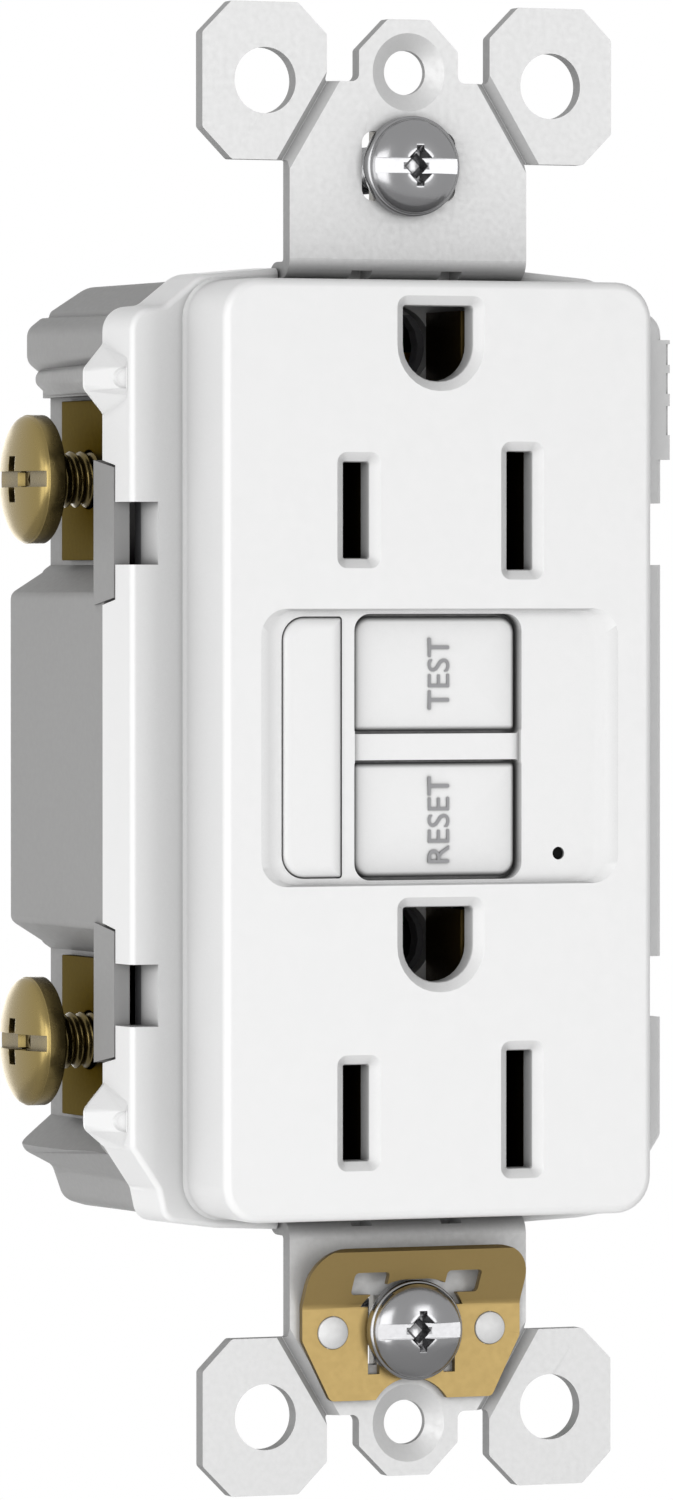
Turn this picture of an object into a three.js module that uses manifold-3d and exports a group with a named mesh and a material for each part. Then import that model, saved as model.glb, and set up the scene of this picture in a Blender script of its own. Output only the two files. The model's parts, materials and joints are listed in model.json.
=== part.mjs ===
// A duplex ground fault outlet with test and reset buttons, held by a steel mounting strap.
// Millimetres. +Z is up, the face looks along -Y, and the rear of the strap lies in the plane Y = 0.
import * as THREE from 'three';
import { mergeVertices } from 'three/addons/utils/BufferGeometryUtils.js';
import Module from 'manifold-3d';

const wasm = await Module();
wasm.setup();

// Shared values
const overrun = 1; // a cutting shape runs this far past what it cuts
const seat = 0.3; // gap between a piece and what it rests on
const running = 0.1; // radial clearance of a pin that moves in its hole
const cornerSteps = 3; // flats in one rounded corner
const fineSides = 24;
const plainSides = 16;
const threadSides = 16;
const coilTurnSteps = 8;
const wireSides = 5;

// Mounting strap, a steel stamping with break-off ears
const strap = {
  thickness: 1.2,
  halfHeight: 53.25,
  neckHalfWidth: 9.24,
  earOuter: 15.96,
  earInner: 6.35,
  earFoot: 42,
  earChamfer: 2.25,
  earHoleX: 11.13,
  earHoleZ: 47.64,
  earHoleRadius: 2.36,
  tabHalfWidth: 3.86,
  tabTop: 52.2,
  tabFoot: 47.7,
  platePitch: 96.84,
  plateHoleRadius: 1.55,
  sinkRadius: 2.78,
  sinkDepth: 0.75,
  boxPitch: 83.34,
  slotHalfWidth: 3.65,
  slotHalfHeight: 2.5,
  scoreWidth: 1.2,
  scoreDepth: 0.7,
  scoreRoot: 0.05,
  bendZ: 33.6,
  bendRadius: 1.4,
  bendInside: 0.2,
  legY: 1.5,
  bendSlotInner: 2.7,
  bendSlotOuter: 4.3,
  bendSlotLean: 36,
  spineHalfWidth: 4.6,
  spineTop: 31.4,
  groundHoleRadius: 2.9,
  guideHoleRadius: 1.3,
};
const strapFront = -strap.thickness;
const legRear = strap.legY + strap.thickness;

// Front cover, one moulding: face block, shoulder and skirt
const cover = {
  lift: 5.8,
  faceHalfWidth: 16.62,
  faceHalfHeight: 33.4,
  faceCorner: 2.7,
  faceEdge: 0.62,
  shoulderDrop: 7.4,
  halfWidth: 20.8,
  halfHeight: 34.4,
  edge: 0.45,
  skirtDepth: 5.2,
  draft: 0.1,
  wall: 1.5,
  faceWall: 1.9,
  strapNotchHalfWidth: 9.5,
  postX: 15.8,
  postZ: 29.6,
  postRadius: 2.3,
};
const faceY = strapFront - cover.lift;
const shoulderY = faceY + cover.shoulderDrop;
const skirtRear = shoulderY + cover.skirtDepth;
const faceInside = faceY + cover.faceWall;

// Corners of the skirt from top to bottom: shares of its half width, half height and half width
const skirtShares = [
  [0.433, 1, 0.58], [0.74, 0.983, 0.115], [0.875, 0.919, 0.058], [1, 0.911, 0.082],
  [1, -0.823, 0.038], [0.901, -0.911, 0.048], [0.877, -0.977, 0.062], [0.683, -0.993, 0.29],
  [0.433, -1, 0.58],
];

// Side lugs of the skirt
const lug = {
  z: 26.45,
  rise: 1.7,
  frontRise: 0.45,
  halfRoot: 2.1,
  halfTip: 0.75,
  round: 0.7,
  frontDrop: 0.9,
};

// Flat moulded tab beside the upper right lug
const sideTab = { rise: 0.6, depth: 0.85, low: 20.8, high: 29.5 };

// Latch windows in the skirt and the tabs of the rear housing that fill them
const latch = {
  inset: 2.1,
  reach: 3.3,
  clearance: 0.15,
  tabThickness: 1.1,
  tabLead: 2.2,
  tabSlope: 0.55,
  upperWindow: [13.16, 17.63],
  lowerWindow: [-19.7, -15.27],
  upperTab: [10.27, 20.65],
  lowerTab: [-22.5, -12.45],
  frame: 1,
};

// Openings of one outlet
const outlet = {
  upperZ: 17.02,
  pitch: 42.77,
  bladeX: 6.35,
  slotWidth: 1.9,
  hotHeight: 6.8,
  neutralHeight: 8.4,
  groundRise: 11.87,
  groundRadius: 2.67,
  leadIn: 0.7,
  leadDepth: 0.6,
  leadCorner: 1,
  slotCorner: 0.1,
  groundFootShare: 0.98,
};
const outletCentres = [outlet.upperZ, outlet.upperZ - outlet.pitch];

// Shallow recess in the face with the badge, the buttons and the indicator
const recess = {
  z: 0.2,
  halfWidth: 13.87,
  halfHeight: 9.84,
  corner: 2,
  sideSlope: 1.72,
  endSlope: 0.25,
  depth: 0.5,
  wellHalfWidth: 6.5,
  wellCorner: 1.2,
  barCorner: 0.35,
  barHalfHeight: 0.93,
  barDrop: 0.4,
  wellMargin: 0.12,
  badgeOuter: 12.1,
  badgeInner: 7.45,
  badgePocket: 0.5,
  badgeRise: 0.32,
  badgeMargin: 0.3,
  badgeSquare: 0.25,
  lensX: 9.39,
  lensZ: -7.48,
  lensRadius: 0.42,
};
const recessFloor = faceY + recess.depth;

// Test and reset buttons
const button = {
  clearance: 0.22,
  faceDrop: 1.15,
  edge: 0.35,
  rear: -3.9,
  flange: 0.6,
  flangeGap: 0.2,
  legHalf: 1.2,
};
const wellTop = recess.z + recess.halfHeight - recess.endSlope - recess.wellMargin;
const wellBottom = recess.z - recess.halfHeight + recess.endSlope + recess.wellMargin;
const barTop = recess.z + recess.barHalfHeight;
const barBottom = recess.z - recess.barHalfHeight;
const testZ = (wellTop + barTop) / 2;
const resetZ = (wellBottom + barBottom) / 2;
const buttonFace = faceY + button.faceDrop;

// Rear housing
const housing = {
  gap: 0.12,
  rear: 24.9,
  wall: 1.6,
  rearWall: 1.9,
  midHalfWidth: 20.7,
  midTop: 13.2,
  midBottom: -15,
  midChamferX: 3.4,
  midChamferZ: 2.1,
  recessWall: 17.3,
  recessFront: 7.7,
  upperRecessTop: 25.4,
  lowerRecessBottom: -27.2,
  lowerSlope: 2.3,
  lowerSlopeRun: 2.8,
  innerWall: 15.7,
  screwHoleRadius: 1.35,
  sinkRadius: 2.05,
  sinkDepth: 1.6,
  bossRadius: 2.9,
  wireHoleRadius: 1.6,
  wireHoleX: 14.1,
  wireHoleSpread: 1.95,
};
const housingFront = skirtRear + housing.gap;
const housingInside = housing.rear - housing.rearWall;

// Corners of the end blocks at the front and at the rear, as shares like those of the skirt
const blockFrontShares = [
  [0.433, 0.99, 0.5], [0.74, 0.972, 0.1], [0.866, 0.91, 0.06], [0.985, 0.901, 0.075],
  [0.985, -0.815, 0.04], [0.887, -0.905, 0.05], [0.86, -0.968, 0.06], [0.683, -0.982, 0.25],
  [0.433, -0.99, 0.5],
];
const blockRearShares = [
  [0.433, 0.988, 0.5], [0.71, 0.975, 0.1], [0.858, 0.916, 0.04], [0.925, 0.9, 0.07],
  [0.962, -0.862, 0.04], [0.84, -0.896, 0.04], [0.8, -0.97, 0.06], [0.72, -0.985, 0.2],
  [0.433, -1.01, 0.5],
];

// Boss ridges beside the upper terminals
const ridge = { z: 26.5, frontReach: 21.9, rearReach: 19.2, halfHeight: 1, round: 0.6 };

// Screw terminals
const terminal = {
  upperZ: 19.35,
  lowerZ: -21.3,
  y: 15.4,
  plateOuter: 18.1,
  plateThickness: 0.75,
  plateFront: 9,
  plateRear: 20.7,
  plateMargin: 0.3,
  boxHalfHeight: 4,
  boxFront: 10.6,
  boxRear: 20.2,
  boxInner: 11.4,
  boxWall: 0.8,
  windowMargin: 0.25,
  clampThickness: 0.9,
  clampHalf: 2.9,
  clampGap: 0.35,
};

// Terminal screw
const terminalScrew = {
  headRadius: 4.68,
  rim: 1.3,
  dome: 1.2,
  shankRadius: 2.05,
  threadDepth: 0.3,
  pitch: 0.794,
  backedOut: 3.5,
  slotWidth: 1.15,
  slotDepth: 1.3,
  crossReach: 1.75,
  crossWidth: 0.9,
};

// Mounting screw and its captive retainer
const boxScrew = {
  headRadius: 3.62,
  rim: 0.9,
  dome: 1.3,
  shankRadius: 1.7,
  threadDepth: 0,
  pitch: 0.794,
  length: 19,
  slotWidth: 1.2,
  slotDepth: 1.1,
  crossReach: 2,
  crossWidth: 1,
  retainerHalfWidth: 2.1,
  retainerHalfHeight: 4,
  retainerThickness: 0.8,
  slide: 1.4,
};

// Ground terminal on the lower leg of the strap
const ground = {
  x: 8.2,
  y: 12,
  legInner: 4.4,
  legOuter: 12,
  legNeck: 7.2,
  legRear: 16.6,
  headRadius: 4,
  rim: 1.2,
  dome: 0.8,
  shankRadius: 2.05,
  threadDepth: 0.3,
  pitch: 0.794,
  slotWidth: 1.1,
  slotDepth: 1,
  crossReach: 0,
  crossWidth: 0,
  backedOut: 2.4,
  clampHalf: 3.9,
  clampThickness: 0.8,
  tail: 0.9,
  drop: 35.1,
};

// Self grounding clip riveted to the lower neck
const clip = {
  thickness: 0.5,
  lift: 0.05,
  halfWidth: 8.5,
  foldZ: -39.83,
  taperZ: -42.3,
  footZ: -46.65,
  footHalfWidth: 6.3,
  flapLength: 4.6,
  flapLean: 30,
  flapCorner: 2.6,
  sinkClear: 3.3,
  windowInner: 1.9,
  windowOuter: 4.6,
  windowLow: 0.78,
  windowHigh: 2.43,
  slitHalfWidth: 0.45,
  slitX: 3.32,
  slitLow: -44.8,
  rivetX: 6.13,
  rivetZ: -41.73,
  rivetRadius: 1.25,
  rivetRise: 0.12,
};

// Receptacle contacts and ground contacts
const contact = {
  leaf: 0.5,
  bladeGap: 2.1,
  front: -4.8,
  rear: 0.9,
  endMargin: 0.85,
  stripInner: 10.9,
  stripOuter: 12.9,
  stripThickness: 0.6,
  fixedLegX: 8.7,
  fixedLegThickness: 0.6,
  fixedLegZ: 0.3,
  fixedLegHalf: 1,
  fixedLegRear: 10.3,
  padHalf: 1.1,
  padThickness: 0.5,
  groundInside: 2.5,
  groundFlange: 4.3,
  groundFlangeThickness: 0.5,
  groundTop: 2.4,
  groundFoot: 3.1,
};

// Separator between the cover and the rear housing
const separator = {
  front: 3.9,
  thickness: 1.2,
  halfWidth: 18.6,
  sideHalfHeight: 25.5,
  endHalfWidth: 12.9,
  halfHeight: 31.2,
  corner: 1,
  bladeMargin: 0.6,
};
const separatorRear = separator.front + separator.thickness;

// Trip mechanism
const mechanism = {
  y: 14.5,
  pinRadius: 0.8,
  pinFront: -5.2,
  pinRear: 17,
  pinHole: 0.15,
  blockHalfWidth: 5.6,
  blockFront: 11.4,
  blockRear: 17.4,
  blockTop: 3.2,
  blockBottom: 3.6,
  wingReach: 9.4,
  wingRear: 13,
  wingLow: 3.6,
  wingHigh: 0.2,
  slotHalfWidth: 2.8,
  slotHalfDepth: 0.5,
  latchThickness: 0.6,
  latchHalfWidth: 2.5,
  latchTop: 4.3,
  latchBottom: 4.2,
  plungerTravel: 1.2,
};

// Solenoid above the latch
const solenoid = {
  plungerRadius: 2,
  strikerRadius: 1.1,
  strikerLength: 1.6,
  base: 2.3,
  plate: 0.8,
  height: 13.4,
  plateHalfWidth: 4.8,
  front: 9.1,
  back: 20.6,
  bore: 2.2,
  barrel: 2.9,
  flangeRadius: 5.2,
  flange: 0.8,
  coilRadius: 4.9,
  stick: 5.2,
  capRadius: 2.9,
  cap: 0.8,
  springRadius: 2.45,
  springWire: 0.35,
  springTurns: 4,
};

// Current sensing transformers and their holder
const sensor = {
  z: -24,
  ringInner: 3.2,
  ringOuter: 6.5,
  ringThickness: 3,
  ringGap: 0.3,
  front: 11.8,
  tubeRadius: 2.9,
  boreRadius: 1.9,
  flangeRadius: 6.7,
  flange: 0.7,
  wingHalfWidth: 9.8,
  wingTop: -13.2,
  wingBottom: -16.4,
  wingFront: 11.6,
  wingThickness: 1.4,
};

// Moving contact arms
const arm = {
  inner: 7.2,
  outer: 9.6,
  thickness: 0.5,
  front: 10.7,
  top: 1.3,
  bottom: -15.6,
};

// Circuit board and what stands on it
const board = {
  front: 21.2,
  thickness: 1.2,
  halfWidth: 10.8,
  halfHeight: 30,
  lift: 0.15,
  varistorX: -5.4,
  varistorZ: 25.4,
  varistorRadius: 4.4,
  varistorDepth: 3.4,
  capacitorX: 5.2,
  capacitorZ: 25.4,
  capacitorHalf: 3.4,
  capacitorDepth: 6,
  chipHalfX: 3,
  chipHalfZ: 1.9,
  chipZ: -13.2,
  chipDepth: 1.1,
  resistorX: 8.2,
  resistorZ: 4,
  resistorRadius: 1.1,
  resistorHalf: 3.2,
};

// Test blade, springs, indicator and body screws
const testBlade = { front: 3.2, thickness: 0.4, halfWidth: 1.6, reach: 9.6, foot: 1.2 };
const resetSpring = { radius: 1.9, wire: 0.4, turns: 5 };
const indicator = { radius: 1.1, rear: 6.4, pipeRadius: 0.7, pipeFront: -6.4 };
const bodyScrew = { radius: 1.1, headRadius: 1.9, head: 1.3, tip: 1.6 };

// Corners [a, b, radius] become a closed line of points with rounded corners
function rounded(corners) {
  const points = [];
  corners.forEach(([a, b, radius], i) => {
    if (!radius) {
      points.push([a, b]);
      return;
    }
    const before = corners[(i + corners.length - 1) % corners.length];
    const after = corners[(i + 1) % corners.length];
    const p = new THREE.Vector2(a, b);
    const u = new THREE.Vector2(before[0], before[1]).sub(p).normalize();
    const v = new THREE.Vector2(after[0], after[1]).sub(p).normalize();
    const half = Math.acos(THREE.MathUtils.clamp(u.dot(v), -1, 1)) / 2;
    const centre = u.clone().add(v).normalize().multiplyScalar(radius / Math.sin(half)).add(p);
    const start = u.clone().multiplyScalar(radius / Math.tan(half)).add(p).sub(centre);
    const turn = Math.sign(u.cross(v)) * (Math.PI - 2 * half);
    for (let step = 0; step <= cornerSteps; step++) {
      const at = start.clone().rotateAround(new THREE.Vector2(), (-turn * step) / cornerSteps);
      points.push([centre.x + at.x, centre.y + at.y]);
    }
  });
  return points;
}

// Moves every edge of a corner list inward by one distance
function inset(corners, distance) {
  const winding = Math.sign(THREE.ShapeUtils.area(corners.map(([a, b]) => new THREE.Vector2(a, b))));
  return corners.map(([a, b, radius], i) => {
    const before = corners[(i + corners.length - 1) % corners.length];
    const after = corners[(i + 1) % corners.length];
    const into = new THREE.Vector2(a - before[0], b - before[1]).normalize();
    const out = new THREE.Vector2(after[0] - a, after[1] - b).normalize();
    const first = new THREE.Vector2(-into.y, into.x).multiplyScalar(winding);
    const second = new THREE.Vector2(-out.y, out.x).multiplyScalar(winding);
    const shift = first.clone().add(second).multiplyScalar(distance / (1 + first.dot(second)));
    const convex = into.cross(out) * winding > 0;
    const smallest = radius / 5;
    const newRadius = convex ? Math.max(radius - distance, smallest) : radius + distance;
    return [a + shift.x, b + shift.y, radius ? newRadius : 0];
  });
}

function rectangle(lowA, highA, lowB, highB, radius = 0) {
  return [[lowA, lowB, radius], [highA, lowB, radius], [highA, highB, radius], [lowA, highB, radius]];
}

// The right half of a corner list, from top to bottom, with its mirror image
function symmetric(half) {
  const left = half.map(([a, b, radius]) => [-a, b, radius]).reverse();
  return [...half, ...left];
}

function circle(a, b, radius, sides) {
  return Array.from({ length: sides }, (_, i) => {
    const angle = (2 * Math.PI * i) / sides;
    return [a + radius * Math.cos(angle), b + radius * Math.sin(angle)];
  });
}

// A round hole whose flats clear the radius
function bore(a, b, radius, sides) {
  return circle(a, b, radius / Math.cos(Math.PI / sides), sides);
}

function meshOf(positions, faces) {
  const geometry = new THREE.BufferGeometry();
  geometry.setAttribute('position', new THREE.Float32BufferAttribute(positions, 3));
  geometry.setIndex(faces);
  return outward(geometry);
}

// Turns the faces of a closed mesh outward
function outward(geometry) {
  const p = geometry.attributes.position;
  const index = geometry.index.array;
  const [a, b, c] = [new THREE.Vector3(), new THREE.Vector3(), new THREE.Vector3()];
  let volume = 0;
  for (let i = 0; i < index.length; i += 3) {
    a.fromBufferAttribute(p, index[i]);
    b.fromBufferAttribute(p, index[i + 1]);
    c.fromBufferAttribute(p, index[i + 2]);
    volume += a.dot(b.cross(c));
  }
  if (volume < 0) {
    for (let i = 0; i < index.length; i += 3) {
      [index[i], index[i + 1]] = [index[i + 1], index[i]];
    }
  }
  return geometry;
}

const axisPlace = {
  x: (a, b, t) => [t, a, b],
  y: (a, b, t) => [a, t, b],
  z: (a, b, t) => [a, b, t],
};

// Joins outlines with equal point counts that lie across one axis: sections are [position, points]
function loft(axis, sections) {
  const count = sections[0][1].length;
  const positions = sections.flatMap(([at, points]) =>
    points.flatMap(([a, b]) => axisPlace[axis](a, b, at)));
  const faces = [];
  const winding = Math.sign(THREE.ShapeUtils.area(sections[0][1].map(([a, b]) => new THREE.Vector2(a, b))));
  const cap = (section, start, side) => {
    const line = section[1].map(([a, b]) => new THREE.Vector2(a, b));
    THREE.ShapeUtils.triangulateShape(line, []).forEach(([i, j, k]) => {
      const turned = Math.sign(THREE.ShapeUtils.area([line[i], line[j], line[k]]));
      const order = turned === side ? [i, j, k] : [i, k, j];
      faces.push(...order.map((corner) => corner + start));
    });
  };
  cap(sections[0], 0, -1);
  cap(sections.at(-1), (sections.length - 1) * count, 1);
  for (let ring = 0; ring < sections.length - 1; ring++) {
    for (let i = 0; i < count; i++) {
      const next = (i + 1) % count;
      const [p, q] = winding > 0 ? [i, next] : [next, i];
      const low = ring * count;
      const high = low + count;
      faces.push(low + p, low + q, high + q, low + p, high + q, high + p);
    }
  }
  return meshOf(positions, faces);
}

function prism(axis, points, from, to) {
  return loft(axis, [[from, points], [to, points]]);
}

function block(x, y, z) {
  const size = new THREE.Vector3(x[1] - x[0], y[1] - y[0], z[1] - z[0]);
  const box = new THREE.BoxGeometry(size.x, size.y, size.z);
  return box.translate((x[0] + x[1]) / 2, (y[0] + y[1]) / 2, (z[0] + z[1]) / 2);
}

// Turns a [radius, height] line about the local Z axis
function revolved(profile, sides) {
  const lathe = new THREE.LatheGeometry(profile.map(([r, h]) => new THREE.Vector2(r, h)), sides);
  return outward(welded(lathe.rotateX(Math.PI / 2)));
}

// Shares vertices and drops the flat triangles that a pole leaves
function welded(geometry) {
  const bare = geometry.clone();
  bare.deleteAttribute('normal');
  bare.deleteAttribute('uv');
  const merged = mergeVertices(bare);
  const faces = [];
  const index = merged.index.array;
  for (let i = 0; i < index.length; i += 3) {
    const [a, b, c] = [index[i], index[i + 1], index[i + 2]];
    if (a !== b && b !== c && a !== c) faces.push(a, b, c);
  }
  merged.setIndex(faces);
  return merged;
}

function solid(geometry) {
  const clean = welded(geometry);
  return new wasm.Manifold(new wasm.Mesh({
    numProp: 3,
    vertProperties: new Float32Array(clean.attributes.position.array),
    triVerts: new Uint32Array(clean.index.array),
  }));
}

function geometryOf(manifold) {
  const mesh = manifold.getMesh();
  const geometry = new THREE.BufferGeometry();
  geometry.setAttribute('position', new THREE.BufferAttribute(mesh.vertProperties, mesh.numProp));
  geometry.setIndex(new THREE.BufferAttribute(mesh.triVerts, 1));
  return geometry;
}

function join(first, ...others) {
  return geometryOf(others.reduce((sum, next) => sum.add(solid(next)), solid(first)));
}

function cut(base, ...tools) {
  return geometryOf(tools.reduce((rest, tool) => rest.subtract(solid(tool)), solid(base)));
}

function flipped(geometry, x, y, z) {
  return outward(welded(geometry.clone().scale(x, y, z)));
}

// Places a shape built along local Z so that it points along one direction
function aimed(geometry, across, direction, x, y, z) {
  const up = new THREE.Vector3().crossVectors(direction, across);
  const turn = new THREE.Matrix4().makeBasis(across, up, direction);
  return geometry.clone().applyMatrix4(turn).translate(x, y, z);
}

// An open coil of round wire along local Z, from 0 to its length
function coil(radius, wire, turns, length) {
  const steps = turns * coilTurnSteps;
  const rise = (length - wire) / steps;
  const positions = [];
  for (let i = 0; i <= steps; i++) {
    const angle = (2 * Math.PI * i) / coilTurnSteps;
    for (let side = 0; side < wireSides; side++) {
      const tilt = (2 * Math.PI * side) / wireSides;
      const out = radius + (wire / 2) * Math.cos(tilt);
      const height = wire / 2 + rise * i + (wire / 2) * Math.sin(tilt);
      positions.push(out * Math.cos(angle), out * Math.sin(angle), height);
    }
  }
  const faces = [];
  for (let side = 1; side < wireSides - 1; side++) {
    const end = steps * wireSides;
    faces.push(0, side + 1, side, end, end + side, end + side + 1);
  }
  for (let i = 0; i < steps; i++) {
    for (let side = 0; side < wireSides; side++) {
      const next = (side + 1) % wireSides;
      const low = i * wireSides;
      const high = low + wireSides;
      faces.push(low + side, low + next, high + next, low + side, high + next, high + side);
    }
  }
  return meshOf(positions, faces);
}

// Screw along local Z: the underside of the head lies at 0 and the shank runs down to -length
function screw(size, length) {
  const { headRadius, rim, dome, shankRadius, threadDepth, pitch } = size;
  const domeShares = [[0.93, 0.2], [0.78, 0.52], [0.55, 0.79], [0.3, 0.95]];
  const profile = [[0, rim + dome]];
  [...domeShares].reverse().forEach(([r, h]) => profile.push([headRadius * r, rim + dome * h]));
  profile.push([headRadius, rim], [headRadius, 0], [shankRadius, 0]);
  for (let z = pitch; threadDepth && z < length - pitch; z += pitch) {
    profile.push([shankRadius, -z + pitch / 2], [shankRadius - threadDepth, -z]);
  }
  profile.push([shankRadius - threadDepth, -length], [0, -length]);
  const top = rim + dome + overrun;
  const slotFloor = rim + dome - size.slotDepth;
  const wide = [-headRadius - overrun, headRadius + overrun];
  const tools = [block(wide, [-size.slotWidth / 2, size.slotWidth / 2], [slotFloor, top])];
  if (size.crossReach) {
    const thin = [-size.crossWidth / 2, size.crossWidth / 2];
    tools.push(block(thin, [-size.crossReach, size.crossReach], [slotFloor, top]));
  }
  return cut(revolved(profile, threadSides), ...tools);
}

const west = new THREE.Vector3(-1, 0, 0);
const east = new THREE.Vector3(1, 0, 0);
const north = new THREE.Vector3(0, 1, 0);
const south = new THREE.Vector3(0, -1, 0);
const down = new THREE.Vector3(0, 0, -1);

function sharedCorners(shares, halfWidth, halfHeight) {
  return symmetric(shares.map(([x, z, radius]) => [x * halfWidth, z * halfHeight, radius * halfWidth]));
}

const skirtCorners = sharedCorners(skirtShares, cover.halfWidth, cover.halfHeight);
const faceCorners = rectangle(
  -cover.faceHalfWidth, cover.faceHalfWidth, -cover.faceHalfHeight, cover.faceHalfHeight, cover.faceCorner,
);

// Slab across Y whose front edge is rounded
function edgedSlab(corners, front, rear, edge) {
  const sections = [];
  for (let step = 0; step <= cornerSteps; step++) {
    const angle = (Math.PI / 2) * (step / cornerSteps);
    const inward = edge * (1 - Math.sin(angle));
    sections.push([front + edge * (1 - Math.cos(angle)), rounded(inset(corners, inward))]);
  }
  sections.push([rear, rounded(corners)]);
  return loft('y', sections);
}

// Corners of a ground opening: flat top and round foot
function groundCorners(z, grow) {
  const r = outlet.groundRadius + grow;
  const topRound = grow ? outlet.leadCorner : outlet.slotCorner;
  const footRound = outlet.groundFootShare * r;
  return [[-r, z + r, topRound], [-r, z - r, footRound], [r, z - r, footRound], [r, z + r, topRound]];
}

function slotCorners(x, z, height, grow) {
  const halfWidth = outlet.slotWidth / 2 + grow;
  const halfHeight = height / 2 + grow;
  const round = grow ? outlet.leadCorner : outlet.slotCorner;
  return rectangle(x - halfWidth, x + halfWidth, z - halfHeight, z + halfHeight, round);
}

// An opening through the face with a sloped lead-in
function leadIn(cornersAt) {
  const wide = rounded(cornersAt(outlet.leadIn));
  const narrow = rounded(cornersAt(0));
  return loft('y', [
    [faceY - overrun, wide], [faceY, wide], [faceY + outlet.leadDepth, narrow],
    [faceInside + overrun, narrow],
  ]);
}

function outletOpenings() {
  return outletCentres.flatMap((z) => [
    leadIn((grow) => slotCorners(-outlet.bladeX, z, outlet.hotHeight, grow)),
    leadIn((grow) => slotCorners(outlet.bladeX, z, outlet.neutralHeight, grow)),
    leadIn((grow) => groundCorners(z + outlet.groundRise, grow)),
  ]);
}

// Corners of a button well or a button: rounder away from the bar between the two
function wellCorners(low, high, margin) {
  const half = recess.wellHalfWidth - margin;
  const lowRound = low > recess.z ? recess.barCorner : recess.wellCorner;
  const highRound = low > recess.z ? recess.wellCorner : recess.barCorner;
  return [
    [-half, low + margin, lowRound], [half, low + margin, lowRound],
    [half, high - margin, highRound], [-half, high - margin, highRound],
  ];
}

function recessOpenings() {
  const outer = rectangle(
    -recess.halfWidth, recess.halfWidth, recess.z - recess.halfHeight, recess.z + recess.halfHeight,
    recess.corner,
  );
  const floorHalf = recess.halfWidth - recess.sideSlope;
  const floorHeight = recess.halfHeight - recess.endSlope;
  const floor = rectangle(-floorHalf, floorHalf, recess.z - floorHeight, recess.z + floorHeight,
    recess.corner);
  const dish = loft('y', [
    [faceY - overrun, rounded(outer)], [faceY, rounded(outer)], [recessFloor, rounded(floor)],
  ]);
  const wells = [[barTop, wellTop], [wellBottom, barBottom]].map(([low, high]) =>
    prism('y', rounded(wellCorners(low, high, 0)), faceY, faceInside + overrun));
  const barFront = block(
    [-recess.wellHalfWidth, recess.wellHalfWidth], [faceY, recessFloor + recess.barDrop],
    [barBottom, barTop],
  );
  const pocket = prism('y', rounded(badgeCorners(0)), faceY, recessFloor + recess.badgePocket);
  const hole = prism('y', bore(recess.lensX, recess.lensZ, recess.lensRadius, plainSides), faceY,
    faceInside + overrun);
  const pipeHole = prism(
    'y', bore(recess.lensX, recess.lensZ, indicator.pipeRadius + running, plainSides),
    indicator.pipeFront - running, faceInside + overrun,
  );
  return [dish, ...wells, barFront, pocket, hole, pipeHole];
}

function badgeCorners(margin) {
  const halfHeight = recess.halfHeight - recess.endSlope - recess.badgeMargin - margin;
  const outer = -recess.badgeOuter + margin;
  const inner = -recess.badgeInner - margin;
  const round = recess.corner - recess.badgeMargin;
  return [
    [outer, recess.z - halfHeight, round], [inner, recess.z - halfHeight, recess.badgeSquare],
    [inner, recess.z + halfHeight, recess.badgeSquare], [outer, recess.z + halfHeight, round],
  ];
}

// One side lug of the skirt, larger at the rear
function skirtLug(side, z) {
  const root = cover.halfWidth - cover.wall / 2;
  const points = (rise) => rounded([
    [side * root, z - lug.halfRoot, 0],
    [side * (cover.halfWidth + rise), z - lug.halfTip, lug.round],
    [side * (cover.halfWidth + rise), z + lug.halfTip, lug.round],
    [side * root, z + lug.halfRoot, 0],
  ]);
  return loft('y', [[shoulderY + lug.frontDrop, points(lug.frontRise)], [skirtRear, points(lug.rise)]]);
}

const latchSets = [[latch.upperWindow, latch.upperTab], [latch.lowerWindow, latch.lowerTab]];

function latchTabPoints([low, high], margin, rear) {
  const front = skirtRear - latch.tabLead - margin;
  return [[rear, low - margin], [front, low + latch.tabSlope - margin],
    [front, high - latch.tabSlope + margin], [rear, high + margin]];
}

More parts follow.
